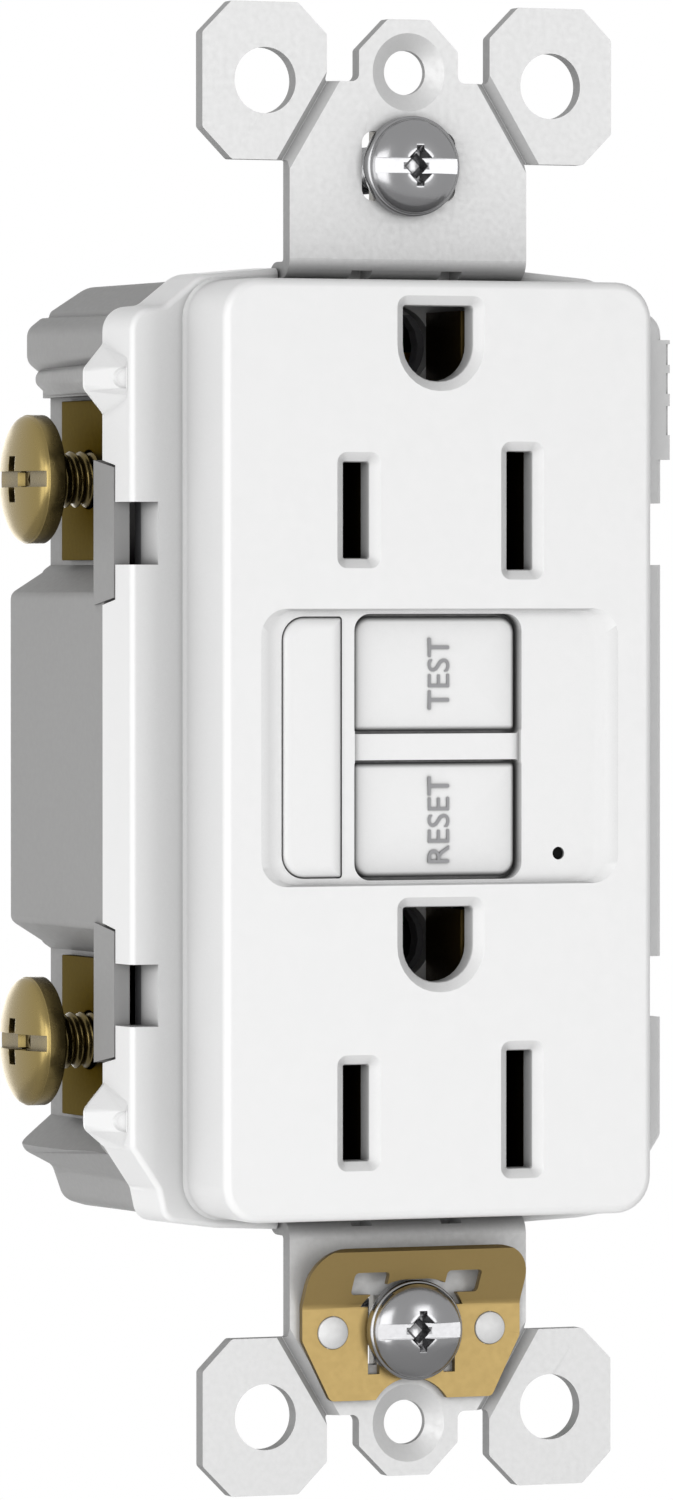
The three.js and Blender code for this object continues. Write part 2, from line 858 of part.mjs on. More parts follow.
function frontCover() {
  const rearCorners = inset(skirtCorners, -cover.draft);
  const skirt = edgedSlab(skirtCorners, shoulderY, shoulderY + cover.wall, cover.edge);
  const skirtWall = loft('y', [[shoulderY + cover.edge, rounded(skirtCorners)],
    [skirtRear, rounded(rearCorners)]]);
  const faceBlock = edgedSlab(faceCorners, faceY, shoulderY + cover.wall, cover.faceEdge);
  const lugs = [-1, 1].flatMap((side) => [-lug.z, lug.z].map((z) => skirtLug(side, z)));
  const tab = block(
    [cover.halfWidth - cover.edge, cover.halfWidth + sideTab.rise],
    [shoulderY, shoulderY + sideTab.depth], [sideTab.low, sideTab.high],
  );
  const faceCavity = prism(
    'y', rounded(inset(faceCorners, cover.wall)), faceInside, shoulderY + cover.wall + overrun,
  );
  const skirtCavity = prism(
    'y', rounded(inset(skirtCorners, cover.wall)), shoulderY + cover.wall, skirtRear + overrun,
  );
  const shell = cut(join(skirt, skirtWall, faceBlock, ...lugs, tab), faceCavity, skirtCavity);
  const posts = [];
  const pilots = [];
  const ledges = [];
  const windows = [];
  for (const side of [-1, 1]) {
    for (const z of [-cover.postZ, cover.postZ]) {
      posts.push(prism('y', circle(side * cover.postX, z, cover.postRadius, plainSides),
        shoulderY + cover.wall / 2, skirtRear));
      pilots.push(prism('y', bore(side * cover.postX, z, bodyScrew.radius + running, plainSides),
        shoulderY + cover.wall, skirtRear + overrun));
    }
    for (const [window, tabSpan] of latchSets) {
      const ledgeX = side * (cover.halfWidth - latch.inset);
      const inner = ledgeX - side * cover.wall;
      const outer = side * (cover.halfWidth - cover.wall / 2);
      ledges.push(block([Math.min(inner, outer), Math.max(inner, outer)], [shoulderY + cover.wall / 2,
        shoulderY + latch.reach], [window[0] - latch.frame, window[1] + latch.frame]));
      const beyond = ledgeX + side * (latch.inset + overrun);
      windows.push(block([Math.min(ledgeX, beyond), Math.max(ledgeX, beyond)],
        [shoulderY - overrun, skirtRear + overrun], window));
      const floor = side * (cover.halfWidth - latch.tabThickness - latch.clearance);
      windows.push(prism('x', latchTabPoints(tabSpan, latch.clearance, skirtRear + overrun), floor,
        beyond));
    }
  }
  const notches = [-1, 1].flatMap((end) => {
    const wide = [-cover.strapNotchHalfWidth, cover.strapNotchHalfWidth];
    const span = (from) => [end * from, end * (cover.halfHeight + overrun)].sort((a, b) => a - b);
    return [
      block(wide, [shoulderY - overrun, skirtRear + overrun],
        span((strap.bendZ + cover.faceHalfHeight) / 2)),
      block(wide, [strap.legY - seat, skirtRear + overrun], span(strap.spineTop - seat)),
    ];
  });
  return cut(join(shell, ...posts, ...ledges), ...pilots, ...windows, ...notches, ...outletOpenings(),
    ...recessOpenings());
}

function badgeInsert() {
  const crown = inset(badgeCorners(running), recess.badgeRise);
  return loft('y', [
    [recessFloor + recess.badgePocket - running, rounded(badgeCorners(running))],
    [recessFloor, rounded(badgeCorners(running))],
    [recessFloor - recess.badgeRise / 2, rounded(inset(badgeCorners(running), recess.badgeRise / 3))],
    [recessFloor - recess.badgeRise, rounded(crown)],
  ]);
}

// Light guide from the indicator lamp to the face
function indicatorLens() {
  return revolvedAlongY([
    [0, recessFloor + running], [recess.lensRadius - running, recessFloor + running],
    [recess.lensRadius - running, indicator.pipeFront], [indicator.pipeRadius, indicator.pipeFront],
    [indicator.pipeRadius, separator.front - seat], [0, separator.front - seat],
  ], recess.lensX, recess.lensZ, plainSides);
}

// A [radius, y] line turned about an axis along Y
function revolvedAlongY(profile, x, z, sides) {
  return aimed(revolved(profile, sides), east, north, x, 0, z);
}

function indicatorLamp() {
  return revolvedAlongY([
    [0, separator.front], [indicator.radius, separator.front + running],
    [indicator.radius, indicator.rear], [0, indicator.rear],
  ], recess.lensX, recess.lensZ, plainSides);
}

// Neck, ears and centre tab of one end of the strap, for the upper end
function strapEnd() {
  const s = strap;
  const half = [
    [s.tabHalfWidth - s.earChamfer, s.tabTop, 0],
    [s.tabHalfWidth, s.tabTop - s.earChamfer, 0],
    [s.tabHalfWidth, s.tabFoot, s.thickness / 2],
    [s.earInner, s.tabFoot, 0],
    [s.earInner, s.halfHeight - s.earChamfer, 0],
    [s.earInner + s.earChamfer, s.halfHeight, 0],
    [s.earOuter - s.earChamfer, s.halfHeight, 0],
    [s.earOuter, s.halfHeight - s.earChamfer, 0],
    [s.earOuter, s.earFoot + s.earChamfer, 0],
    [s.earOuter - s.earChamfer, s.earFoot, 0],
    [s.neckHalfWidth, s.earFoot, 0],
    [s.neckHalfWidth, s.bendZ + s.bendRadius, 0],
  ];
  const plate = prism('y', rounded(symmetric(half)), strapFront, 0);
  const tools = [
    prism('y', bore(-s.earHoleX, s.earHoleZ, s.earHoleRadius, fineSides), strapFront - overrun, overrun),
    prism('y', bore(s.earHoleX, s.earHoleZ, s.earHoleRadius, fineSides), strapFront - overrun, overrun),
    prism('y', bore(0, s.platePitch / 2, s.plateHoleRadius, plainSides), strapFront - overrun, overrun),
    loft('y', [
      [strapFront - overrun, circle(0, s.platePitch / 2, s.sinkRadius, fineSides)],
      [strapFront, circle(0, s.platePitch / 2, s.sinkRadius, fineSides)],
      [strapFront + s.sinkDepth, circle(0, s.platePitch / 2, s.plateHoleRadius, fineSides)],
    ]),
    prism('y', rounded(rectangle(-s.slotHalfWidth, s.slotHalfWidth, s.boxPitch / 2 - s.slotHalfHeight,
      s.boxPitch / 2 + s.slotHalfHeight, s.slotHalfHeight / 3)), strapFront - overrun, overrun),
    scoreGroove(1),
    scoreGroove(-1),
  ];
  return cut(plate, ...tools);
}

// V groove along which an ear breaks off
function scoreGroove(side) {
  const s = strap;
  const low = new THREE.Vector2(side * (s.neckHalfWidth + s.scoreWidth / 4), s.earFoot);
  const high = new THREE.Vector2(side * (s.earInner - s.scoreWidth / 4), s.tabFoot);
  const along = high.clone().sub(low).normalize();
  const across = new THREE.Vector2(-along.y, along.x).multiplyScalar(s.scoreWidth / 2);
  const start = low.clone().addScaledVector(along, -overrun);
  const end = high.clone().addScaledVector(along, overrun);
  const line = (k) => [
    [start.x - across.x * k, start.y - across.y * k], [end.x - across.x * k, end.y - across.y * k],
    [end.x + across.x * k, end.y + across.y * k], [start.x + across.x * k, start.y + across.y * k],
  ];
  return loft('y', [[strapFront - overrun, line(1)], [strapFront, line(1)],
    [strapFront + s.scoreDepth, line(s.scoreRoot)]]);
}

// The bend from the neck to the leg behind the cover's edge, drawn in Y and Z
function strapBend() {
  const s = strap;
  const top = s.bendZ + s.bendRadius + s.thickness;
  const profile = rounded([
    [strapFront, top, 0], [strapFront, s.bendZ, s.bendRadius], [s.legY, s.bendZ, s.bendInside],
    [s.legY, s.spineTop, 0], [legRear, s.spineTop, 0], [legRear, s.bendZ + s.thickness, s.bendRadius],
    [0, s.bendZ + s.thickness, s.bendInside], [0, top, 0],
  ]);
  const centreY = strapFront + s.bendRadius;
  const centreZ = s.bendZ + s.bendRadius;
  const lean = THREE.MathUtils.degToRad(s.bendSlotLean);
  const reach = s.bendRadius + overrun;
  const slotFront = centreY - reach * Math.cos(lean);
  const slotRear = s.legY - s.bendInside;
  const slotProfile = [
    [centreY, centreZ], [slotFront, centreZ - reach * Math.sin(lean)], [slotFront, s.bendZ - overrun],
    [slotRear, s.bendZ - overrun], [slotRear, centreZ],
  ];
  const slots = [-1, 1].map((side) => {
    const [low, high] = [side * s.bendSlotInner, side * s.bendSlotOuter].sort((a, b) => a - b);
    return prism('x', slotProfile, low, high);
  });
  return cut(prism('x', profile, -s.neckHalfWidth, s.neckHalfWidth), ...slots);
}

function mountingStrap() {
  const s = strap;
  const half = join(strapEnd(), strapBend());
  const spine = block([-s.spineHalfWidth, s.spineHalfWidth], [s.legY, legRear],
    [-s.spineTop - overrun, s.spineTop + overrun]);
  const holes = outletCentres.map((z) =>
    prism('y', bore(0, z + outlet.groundRise, s.groundHoleRadius, plainSides), s.legY - overrun,
      legRear + overrun));
  holes.push(prism('y', bore(0, resetZ, s.guideHoleRadius, plainSides), s.legY - overrun,
    legRear + overrun));
  const legHalf = button.legHalf + seat;
  holes.push(block([-legHalf, legHalf], [s.legY - overrun, legRear + overrun],
    [testZ - legHalf, testZ + legHalf]));
  const g = ground;
  const legEnd = [-g.drop - s.thickness, -g.drop];
  const leg = prism('z', [
    [g.legInner, 0], [s.neckHalfWidth, 0], [s.neckHalfWidth, g.legNeck],
    [g.legOuter, g.legNeck + g.legOuter - s.neckHalfWidth], [g.legOuter, g.legRear],
    [g.legInner, g.legRear],
  ], ...legEnd);
  const legRise = block([g.legInner, s.neckHalfWidth], [0, legRear], [legEnd[0], -s.bendZ - s.bendInside]);
  const tapped = prism('z', bore(g.x, g.y, g.shankRadius + running, plainSides),
    -g.drop - s.thickness - overrun, -g.drop + overrun);
  const whole = join(half, flipped(half, 1, 1, -1), spine, leg, legRise);
  return cut(whole, ...holes, tapped, ...rivetHoles(strapFront - overrun, overrun));
}

function rivetHoles(from, to) {
  return [-1, 1].map((side) =>
    prism('y', bore(side * clip.rivetX, clip.rivetZ, clip.rivetRadius + running, plainSides), from, to));
}

// Spring clip that grounds the strap through the mounting screw: a bent strip cut to its outline
function selfGroundClip() {
  const c = clip;
  const rear = strapFront - c.lift;
  const front = rear - c.thickness;
  const lean = THREE.MathUtils.degToRad(c.flapLean);
  const [reach, climb] = [c.flapLength * Math.sin(lean), c.flapLength * Math.cos(lean)];
  const top = c.foldZ + climb + c.thickness * Math.sin(lean);
  const strip = prism('x', [
    [front, c.footZ], [front, c.foldZ], [front - reach, c.foldZ + climb],
    [front - reach + c.thickness * Math.cos(lean), top], [rear, c.foldZ + c.thickness * Math.tan(lean / 2)],
    [rear, c.footZ],
  ], -c.halfWidth, c.halfWidth);
  const span = [front - reach - overrun, rear + overrun];
  const edge = c.halfWidth + overrun;
  const below = c.footZ - overrun;
  const slope = ((edge - c.footHalfWidth) * (c.taperZ - c.footZ)) / (c.halfWidth - c.footHalfWidth);
  const corners = [-1, 1].flatMap((side) => [
    prism('y', [[side * c.footHalfWidth, c.footZ], [side * edge, c.footZ + slope], [side * edge, below],
      [side * c.footHalfWidth, below]], ...span),
    cut(block([side * (c.halfWidth - c.flapCorner), side * edge].sort((a, b) => a - b), span,
      [top - c.flapCorner, top + overrun]),
    prism('y', circle(side * (c.halfWidth - c.flapCorner), top - c.flapCorner, c.flapCorner, fineSides),
      span[0] - overrun, span[1] + overrun)),
  ]);
  const windows = [-1, 1].map((side) => prism('y', rounded(rectangle(
    ...[side * c.windowInner, side * c.windowOuter].sort((a, b) => a - b), c.foldZ + c.windowLow,
    c.foldZ + c.windowHigh, c.thickness / 2,
  )), ...span));
  const slits = [-1, 1].map((side) => block(
    [side * c.slitX - c.slitHalfWidth, side * c.slitX + c.slitHalfWidth], span,
    [c.slitLow, c.foldZ + c.windowHigh / 2],
  ));
  const holeHalf = boxScrew.shankRadius + seat;
  const slotHalf = holeHalf + boxScrew.slide;
  const headRoom = block([-c.slitX, c.slitX], span, [c.foldZ - c.thickness / 4,
    -strap.boxPitch / 2 + boxScrew.headRadius + seat]);
  return cut(strip, ...corners, ...windows, ...slits, headRoom,
    prism('y', circle(0, -strap.platePitch / 2, c.sinkClear, fineSides), ...span),
    prism('y', rounded(rectangle(
      -slotHalf, slotHalf, -strap.boxPitch / 2 - holeHalf, -strap.boxPitch / 2 + holeHalf, holeHalf / 2,
    )), ...span),
    ...rivetHoles(...span));
}

function clipRivet(side) {
  const front = strapFront - clip.lift - clip.thickness - clip.rivetRise;
  return prism('y', circle(side * clip.rivetX, clip.rivetZ, clip.rivetRadius, plainSides), front, 0);
}

function mountingScrew(end) {
  const z = (end * strap.boxPitch) / 2;
  const lift = end < 0 ? clip.lift + clip.thickness + running : running;
  return aimed(screw(boxScrew, boxScrew.length), east, south, 0, strapFront - lift, z);
}

// Captive narrow washer behind the strap, taller than the slot
function screwRetainer(end) {
  const z = (end * strap.boxPitch) / 2;
  const halfWidth = boxScrew.retainerHalfWidth;
  const halfHeight = boxScrew.retainerHalfHeight;
  const plate = block(
    [-halfWidth, halfWidth], [seat, seat + boxScrew.retainerThickness], [z - halfHeight, z + halfHeight],
  );
  return cut(plate, prism('y', bore(0, z, boxScrew.shankRadius + running, plainSides), 0,
    seat + boxScrew.retainerThickness + overrun));
}

function groundScrew() {
  const low = -ground.drop - strap.thickness - ground.backedOut;
  const length = ground.backedOut + strap.thickness + ground.tail;
  return aimed(screw(ground, length), east, down, ground.x, ground.y, low);
}

function groundClamp() {
  const g = ground;
  const top = -g.drop - strap.thickness - g.backedOut + running + g.clampThickness;
  const plate = block([g.x - g.clampHalf, g.x + g.clampHalf], [g.y - g.clampHalf, g.y + g.clampHalf],
    [top - g.clampThickness, top]);
  return cut(plate, prism('z', bore(g.x, g.y, g.shankRadius + running, plainSides),
    top - g.clampThickness - overrun, top + overrun));
}

function housingBody() {
  const h = housing;
  const width = cover.halfWidth;
  const height = cover.halfHeight;
  const front = sharedCorners(blockFrontShares, width, height);
  const rear = sharedCorners(blockRearShares, width, height);
  const ends = loft('y', [
    [housingFront, rounded(front)], [h.rear - h.wall / 2, rounded(rear)],
    [h.rear, rounded(inset(rear, h.wall / 3))],
  ]);
  const mid = prism('y', symmetric([
    [h.recessWall, h.midTop], [h.midHalfWidth, h.midTop - h.midChamferZ],
    [h.midHalfWidth, h.midBottom + h.midChamferZ], [h.recessWall, h.midBottom],
  ]), housingFront, h.rear);
  const ridges = [-1, 1].map((side) => {
    const points = (reach) => rounded([
      [side * h.recessWall, ridge.z - ridge.halfHeight, 0],
      [side * reach, ridge.z - ridge.halfHeight, ridge.round],
      [side * reach, ridge.z + ridge.halfHeight, ridge.round],
      [side * h.recessWall, ridge.z + ridge.halfHeight, 0],
    ]);
    return loft('y', [[housingFront, points(ridge.frontReach)],
      [h.rear - h.wall, points(ridge.rearReach)]]);
  });
  const tabs = [-1, 1].flatMap((side) => latchSets.map(([, span]) => {
    const outer = side * (cover.halfWidth + cover.draft);
    const inner = side * (cover.halfWidth - latch.tabThickness);
    return prism('x', latchTabPoints(span, 0, housingFront + h.wall), inner, outer);
  }));
  return join(ends, mid, ...ridges, ...tabs);
}

// Side pockets for the terminals, open at the side and at the rear
function terminalPockets() {
  const h = housing;
  const far = cover.halfWidth + 2 * overrun;
  const slopeEnd = h.recessWall + h.lowerSlopeRun;
  const drop = (h.lowerSlope * (far - h.recessWall)) / (slopeEnd - h.recessWall);
  const chamfer = h.midChamferZ * (far - h.recessWall) / h.midChamferX;
  return [-1, 1].flatMap((side) => [
    prism('y', [
      [side * h.recessWall, h.midTop], [side * far, h.midTop - chamfer],
      [side * far, h.upperRecessTop], [side * h.recessWall, h.upperRecessTop],
    ], h.recessFront, h.rear + overrun),
    prism('y', [
      [side * h.recessWall, h.midBottom], [side * far, h.midBottom + chamfer],
      [side * far, h.lowerRecessBottom - drop], [side * h.recessWall, h.lowerRecessBottom],
    ], h.recessFront, h.rear + overrun),
  ]);
}

function rearHousing() {
  const h = housing;
  const inner = inset(sharedCorners(blockRearShares, cover.halfWidth, cover.halfHeight), h.wall);
  const cavityFront = prism('y', rounded(inner), housingFront - overrun, h.recessFront - h.wall);
  const cavityHalf = h.innerWall;
  const cavityDeep = prism('y', rounded(rectangle(-cavityHalf, cavityHalf, -cover.halfHeight + 2 * h.wall,
    cover.halfHeight - 2 * h.wall, h.wall)), housingFront, housingInside);
  const midHalf = h.midHalfWidth - h.wall;
  const cavityMid = block([-midHalf, midHalf], [housingFront, housingInside],
    [h.midBottom + h.midChamferZ + h.wall / 2, h.midTop - h.midChamferZ - h.wall / 2]);
  const bosses = [];
  const holes = [];
  for (const side of [-1, 1]) {
    for (const z of [-cover.postZ, cover.postZ]) {
      const x = side * cover.postX;
      bosses.push(prism('y', circle(x, z, h.bossRadius, plainSides), housingFront, h.rear - h.wall));
      holes.push(prism('y', bore(x, z, h.screwHoleRadius, plainSides), housingFront - overrun,
        h.rear + overrun));
      holes.push(prism('y', bore(x, z, h.sinkRadius, plainSides), h.rear - h.sinkDepth, h.rear + overrun));
    }
    for (const z of [terminal.upperZ, terminal.lowerZ]) {
      const half = terminal.boxHalfHeight + terminal.windowMargin;
      const span = [side * (h.innerWall - overrun), side * (h.recessWall + overrun)].sort((a, b) => a - b);
      holes.push(block(span,
        [terminal.boxFront - terminal.windowMargin, terminal.boxRear + terminal.windowMargin],
        [z - half, z + half]));
      for (const shift of [-1, 1]) {
        holes.push(prism('y', bore(side * h.wireHoleX, z + shift * h.wireHoleSpread, h.wireHoleRadius,
          plainSides), housingInside - overrun, h.rear + overrun));
      }
    }
  }
  const body = housingBody();
  const hollow = cut(body, cavityFront, cavityDeep, cavityMid);
  const clipped = bosses.map((boss) => geometryOf(solid(boss).intersect(solid(body))));
  const screwRoom = prism('z', bore(ground.x, ground.y, ground.shankRadius + seat, plainSides),
    -ground.drop, -cover.halfHeight + 2 * h.wall + overrun);
  return cut(join(hollow, ...clipped), ...terminalPockets(), ...holes, screwRoom);
}

// Terminal: an outer plate in the side pocket and a box behind it that the wires enter
function terminalBracket(side, z) {
  const t = terminal;
  const low = z < 0 ? housing.lowerRecessBottom : housing.midTop;
  const high = z < 0 ? housing.midBottom : housing.upperRecessTop;
  const plateInner = t.plateOuter - t.plateThickness;
  const plate = block([plateInner, t.plateOuter], [t.plateFront, t.plateRear],
    [low + t.plateMargin, high - t.plateMargin]);
  const box = block([t.boxInner, plateInner + t.plateThickness / 2], [t.boxFront, t.boxRear],
    [z - t.boxHalfHeight, z + t.boxHalfHeight]);
  const inside = block([t.boxInner + t.boxWall, plateInner], [t.boxFront - overrun, t.boxRear + overrun],
    [z - t.boxHalfHeight + t.boxWall, z + t.boxHalfHeight - t.boxWall]);
  const tapped = prism('x', bore(t.y, z, terminalScrew.shankRadius + running, threadSides),
    plateInner - overrun, t.plateOuter + overrun);
  return flipped(cut(join(plate, box), inside, tapped), side, 1, 1);
}

// The plate that the screw presses against the wires
function clampPlate(side, z) {
  const t = terminal;
  const outer = t.plateOuter - t.plateThickness - t.clampGap;
  return block([side * (outer - t.clampThickness), side * outer].sort((a, b) => a - b),
    [t.y - t.clampHalf, t.y + t.clampHalf], [z - t.clampHalf, z + t.clampHalf]);
}

function terminalScrewAt(side, z) {
  const t = terminal;
  const under = t.plateOuter + terminalScrew.backedOut;
  const clampFace = t.plateOuter - t.plateThickness - t.clampGap;
  const length = under - clampFace - running;
  return aimed(screw(terminalScrew, length), side < 0 ? north : south, side < 0 ? west : east,
    side * under, t.y, z);
}

// Spring sleeve around one blade opening
function bladeSleeve(x, z, height) {
  const c = contact;
  const halfX = c.bladeGap / 2;
  const halfZ = height / 2 + c.endMargin;
  const outer = block([x - halfX - c.leaf, x + halfX + c.leaf], [c.front, c.rear],
    [z - halfZ - c.leaf, z + halfZ + c.leaf]);
  const inner = block([x - halfX, x + halfX], [c.front - overrun, c.rear + overrun],
    [z - halfZ, z + halfZ]);
  return [outer, inner];
}

// Both sleeves of one side, the strip between them and the leg to the moving contact
function receptacleContacts(side, height) {
  const c = contact;
  const x = side * outlet.bladeX;
  const sleeves = outletCentres.map((z) => bladeSleeve(x, z, height));
  const span = (a, b) => [side * a, side * b].sort((p, q) => p - q);
  const flat = [c.rear - c.stripThickness, c.rear];
  const strip = block(span(c.stripInner, c.stripOuter), flat, [outletCentres[1] - height / 2,
    outletCentres[0] + height / 2]);
  const bridgeX = span(outlet.bladeX + c.bladeGap / 2 + c.leaf / 2, c.stripOuter);
  const bridges = outletCentres.map((z) => block(bridgeX, flat, [z - height / 4, z + height / 4]));
  const armZ = [c.fixedLegZ - c.fixedLegHalf, c.fixedLegZ + c.fixedLegHalf];
  const legX = [c.fixedLegX, c.fixedLegX + c.fixedLegThickness];
  const crossBar = block(span(c.fixedLegX, c.stripOuter), flat, armZ);
  const leg = block(span(...legX), [c.rear - c.stripThickness, c.fixedLegRear], armZ);
  const armX = (arm.inner + arm.outer) / 2;
  const pad = block(span(armX - c.padHalf, armX + c.padHalf),
    [c.fixedLegRear - c.padThickness, c.fixedLegRear], armZ);
  return cut(join(strip, ...bridges, crossBar, leg, pad, ...sleeves.map(([outer]) => outer)),
    ...sleeves.map(([, inner]) => inner));
}

// Ground contact: a three sided sleeve on a flange that lies on the strap
function groundContact(z) {
  const c = contact;
  const wallOuter = c.groundInside + c.leaf;
  const top = z + c.groundTop;
  const low = z - c.groundFoot;
  const flangeRear = strap.legY - running;
  const flangeFront = flangeRear - c.groundFlangeThickness;
  const sleeve = block([-wallOuter, wallOuter], [c.front, flangeRear], [low - c.leaf, top]);
  const flange = block([-c.groundFlange, c.groundFlange], [flangeFront, flangeRear], [low - c.leaf, top]);
  const inside = block([-c.groundInside, c.groundInside], [c.front - overrun, flangeRear + overrun],
    [low, top + overrun]);
  return cut(join(sleeve, flange), inside);
}

function separatorFrame() {
  const s = separator;
  const half = [
    [s.endHalfWidth, s.halfHeight, s.corner], [s.endHalfWidth, s.sideHalfHeight, s.corner],
    [s.halfWidth, s.sideHalfHeight, s.corner], [s.halfWidth, -s.sideHalfHeight, s.corner],
    [s.endHalfWidth, -s.sideHalfHeight, s.corner], [s.endHalfWidth, -s.halfHeight, s.corner],
  ];
  const plate = prism('y', rounded(symmetric(half)), s.front, separatorRear);
  const through = [s.front - overrun, separatorRear + overrun];
  const tools = outletCentres.flatMap((z) => [-1, 1].map((side) => {
    const x = side * outlet.bladeX;
    const halfX = contact.bladeGap / 2 + s.bladeMargin;
    const halfZ = outlet.neutralHeight / 2 + s.bladeMargin;
    return block([x - halfX, x + halfX], through, [z - halfZ, z + halfZ]);
  }).concat(prism('y', bore(0, z + outlet.groundRise, strap.groundHoleRadius, plainSides), ...through)));
  tools.push(prism('y', bore(0, resetZ, strap.guideHoleRadius, plainSides), ...through));
  tools.push(prism('y', bore(recess.lensX, recess.lensZ, indicator.radius + running, plainSides),
    ...through));
  for (const side of [-1, 1]) {
    const armMiddle = contact.fixedLegX + contact.fixedLegThickness / 2;
    const halfX = contact.fixedLegThickness / 2 + seat;
    const halfZ = contact.fixedLegHalf + seat;
    tools.push(block([side * armMiddle - halfX, side * armMiddle + halfX], through,
      [contact.fixedLegZ - halfZ, contact.fixedLegZ + halfZ]));
  }
  const bladeHalf = testBlade.halfWidth + seat;
  tools.push(block([-testBlade.reach + testBlade.foot / 2, bladeHalf], through,
    [testZ - bladeHalf, testZ + bladeHalf]));
  return cut(plate, ...tools);
}

function buttonBody(low, high) {
  const c = button.clearance;
  const flangeFront = faceInside + button.flangeGap;
  const face = edgedSlab(wellCorners(low, high, c), buttonFace, button.rear, button.edge);
  const half = recess.wellHalfWidth + button.flange;
  const flange = block([-half, half], [flangeFront, button.rear],
    [low - button.flange / 2, high + button.flange / 2]);
  return join(face, flange);
}

function testButton() {
  const leg = block([-button.legHalf, button.legHalf], [button.rear - overrun, testBlade.front - seat],
    [testZ - button.legHalf, testZ + button.legHalf]);
  return join(buttonBody(barTop, wellTop), leg);
}

function resetButton() {
  const hole = prism('y', bore(0, resetZ, mechanism.pinRadius + running, plainSides),
    mechanism.pinFront - running, button.rear + overrun);
  return cut(buttonBody(wellBottom, barBottom), hole);
}

function resetPin() {
  return prism('y', circle(0, resetZ, mechanism.pinRadius, plainSides), mechanism.pinFront,
    mechanism.pinRear);
}

function resetSpringSolid() {
  const from = button.rear + running;
  const to = strap.legY - running;
  const shape = coil(resetSpring.radius, resetSpring.wire, resetSpring.turns, to - from);
  return aimed(shape, east, north, 0, from, resetZ);
}

function testBladeSolid() {
  const t = testBlade;
  return block([-t.reach - t.foot, t.halfWidth], [t.front, t.front + t.thickness],
    [testZ - t.halfWidth, testZ + t.halfWidth]);
}

function latchBlock() {
  const m = mechanism;
  const low = resetZ - m.blockBottom;
  const high = resetZ + m.blockTop;
  const middle = block([-m.blockHalfWidth, m.blockHalfWidth], [m.blockFront, m.blockRear], [low, high]);
  const wings = block([-m.wingReach, m.wingReach], [m.blockFront, m.wingRear],
    [resetZ - m.wingLow, resetZ + m.wingHigh]);
  const hole = prism('y', bore(0, resetZ, m.pinRadius + m.pinHole, plainSides), m.blockFront - overrun,
    m.blockRear + overrun);
  const slot = block([-m.slotHalfWidth, m.slotHalfWidth], [m.y - m.slotHalfDepth, m.y + m.slotHalfDepth],
    [low - overrun, high + overrun]);
  return cut(join(middle, wings), hole, slot);
}

function latchPlate() {
  const m = mechanism;
  const plate = block([-m.latchHalfWidth, m.latchHalfWidth],
    [m.y - m.latchThickness / 2, m.y + m.latchThickness / 2],
    [resetZ - m.latchBottom, resetZ + m.latchTop]);
  const hole = rounded(rectangle(-m.pinRadius - m.pinHole, m.pinRadius + m.pinHole,
    resetZ - m.pinRadius - m.pinHole, resetZ + m.pinRadius + m.plungerTravel + m.pinHole, m.pinRadius));
  return cut(plate, prism('y', hole, m.y - m.latchThickness - overrun, m.y + m.latchThickness + overrun));
}

const frameTop = solenoid.base + solenoid.height;

function plunger() {
  const s = solenoid;
  const tip = resetZ + mechanism.latchTop + seat;
  const shoulder = Math.max(tip + s.strikerLength, s.base + s.plate);
  const top = frameTop + s.stick;
  const profile = [
    [0, tip], [s.strikerRadius, tip], [s.strikerRadius, shoulder], [s.plungerRadius, shoulder],
    [s.plungerRadius, top - s.cap], [s.capRadius, top - s.cap], [s.capRadius, top], [0, top],
  ];
  return revolved(profile, plainSides).translate(0, mechanism.y, 0);
}

function plungerSpring() {
  const s = solenoid;
  const from = frameTop + running;
  const to = frameTop + s.stick - s.cap - running;
  return coil(s.springRadius, s.springWire, s.springTurns, to - from).translate(0, mechanism.y, from);
}

function bobbin() {
  const s = solenoid;
  const low = s.base + s.plate + running;
  const high = frameTop - s.plate - running;
  return revolved([
    [s.bore, low], [s.flangeRadius, low], [s.flangeRadius, low + s.flange], [s.barrel, low + s.flange],
    [s.barrel, high - s.flange], [s.flangeRadius, high - s.flange], [s.flangeRadius, high], [s.bore, high],
    [s.bore, low],
  ], plainSides).translate(0, mechanism.y, 0);
}

function solenoidCoil() {
  const s = solenoid;
  const low = s.base + s.plate + s.flange + 2 * running;
  const high = frameTop - s.plate - s.flange - 2 * running;
  const inner = s.barrel + running;
  const profile = [[inner, low], [s.coilRadius, low], [s.coilRadius, high], [inner, high], [inner, low]];
  return revolved(profile, plainSides)
    .translate(0, mechanism.y, 0);
}

function solenoidFrame() {
  const s = solenoid;
  const profile = [
    [s.front, s.base], [s.back, s.base], [s.back, frameTop], [s.front, frameTop],
    [s.front, frameTop - s.plate],
    [s.back - s.plate, frameTop - s.plate], [s.back - s.plate, s.base + s.plate],
    [s.front, s.base + s.plate],
  ];
  const hole = prism('z', bore(0, mechanism.y, s.bore, plainSides), s.base - overrun, frameTop + overrun);
  return cut(prism('x', profile, -s.plateHalfWidth, s.plateHalfWidth), hole);
}

function transformerRing(order) {
  const s = sensor;
  const front = s.front + s.flange + s.ringGap + order * (s.ringThickness + s.ringGap);
  const rear = front + s.ringThickness;
  return revolvedAlongY([
    [s.ringInner, front], [s.ringOuter, front], [s.ringOuter, rear], [s.ringInner, rear],
    [s.ringInner, front],
  ], 0, s.z, plainSides);
}

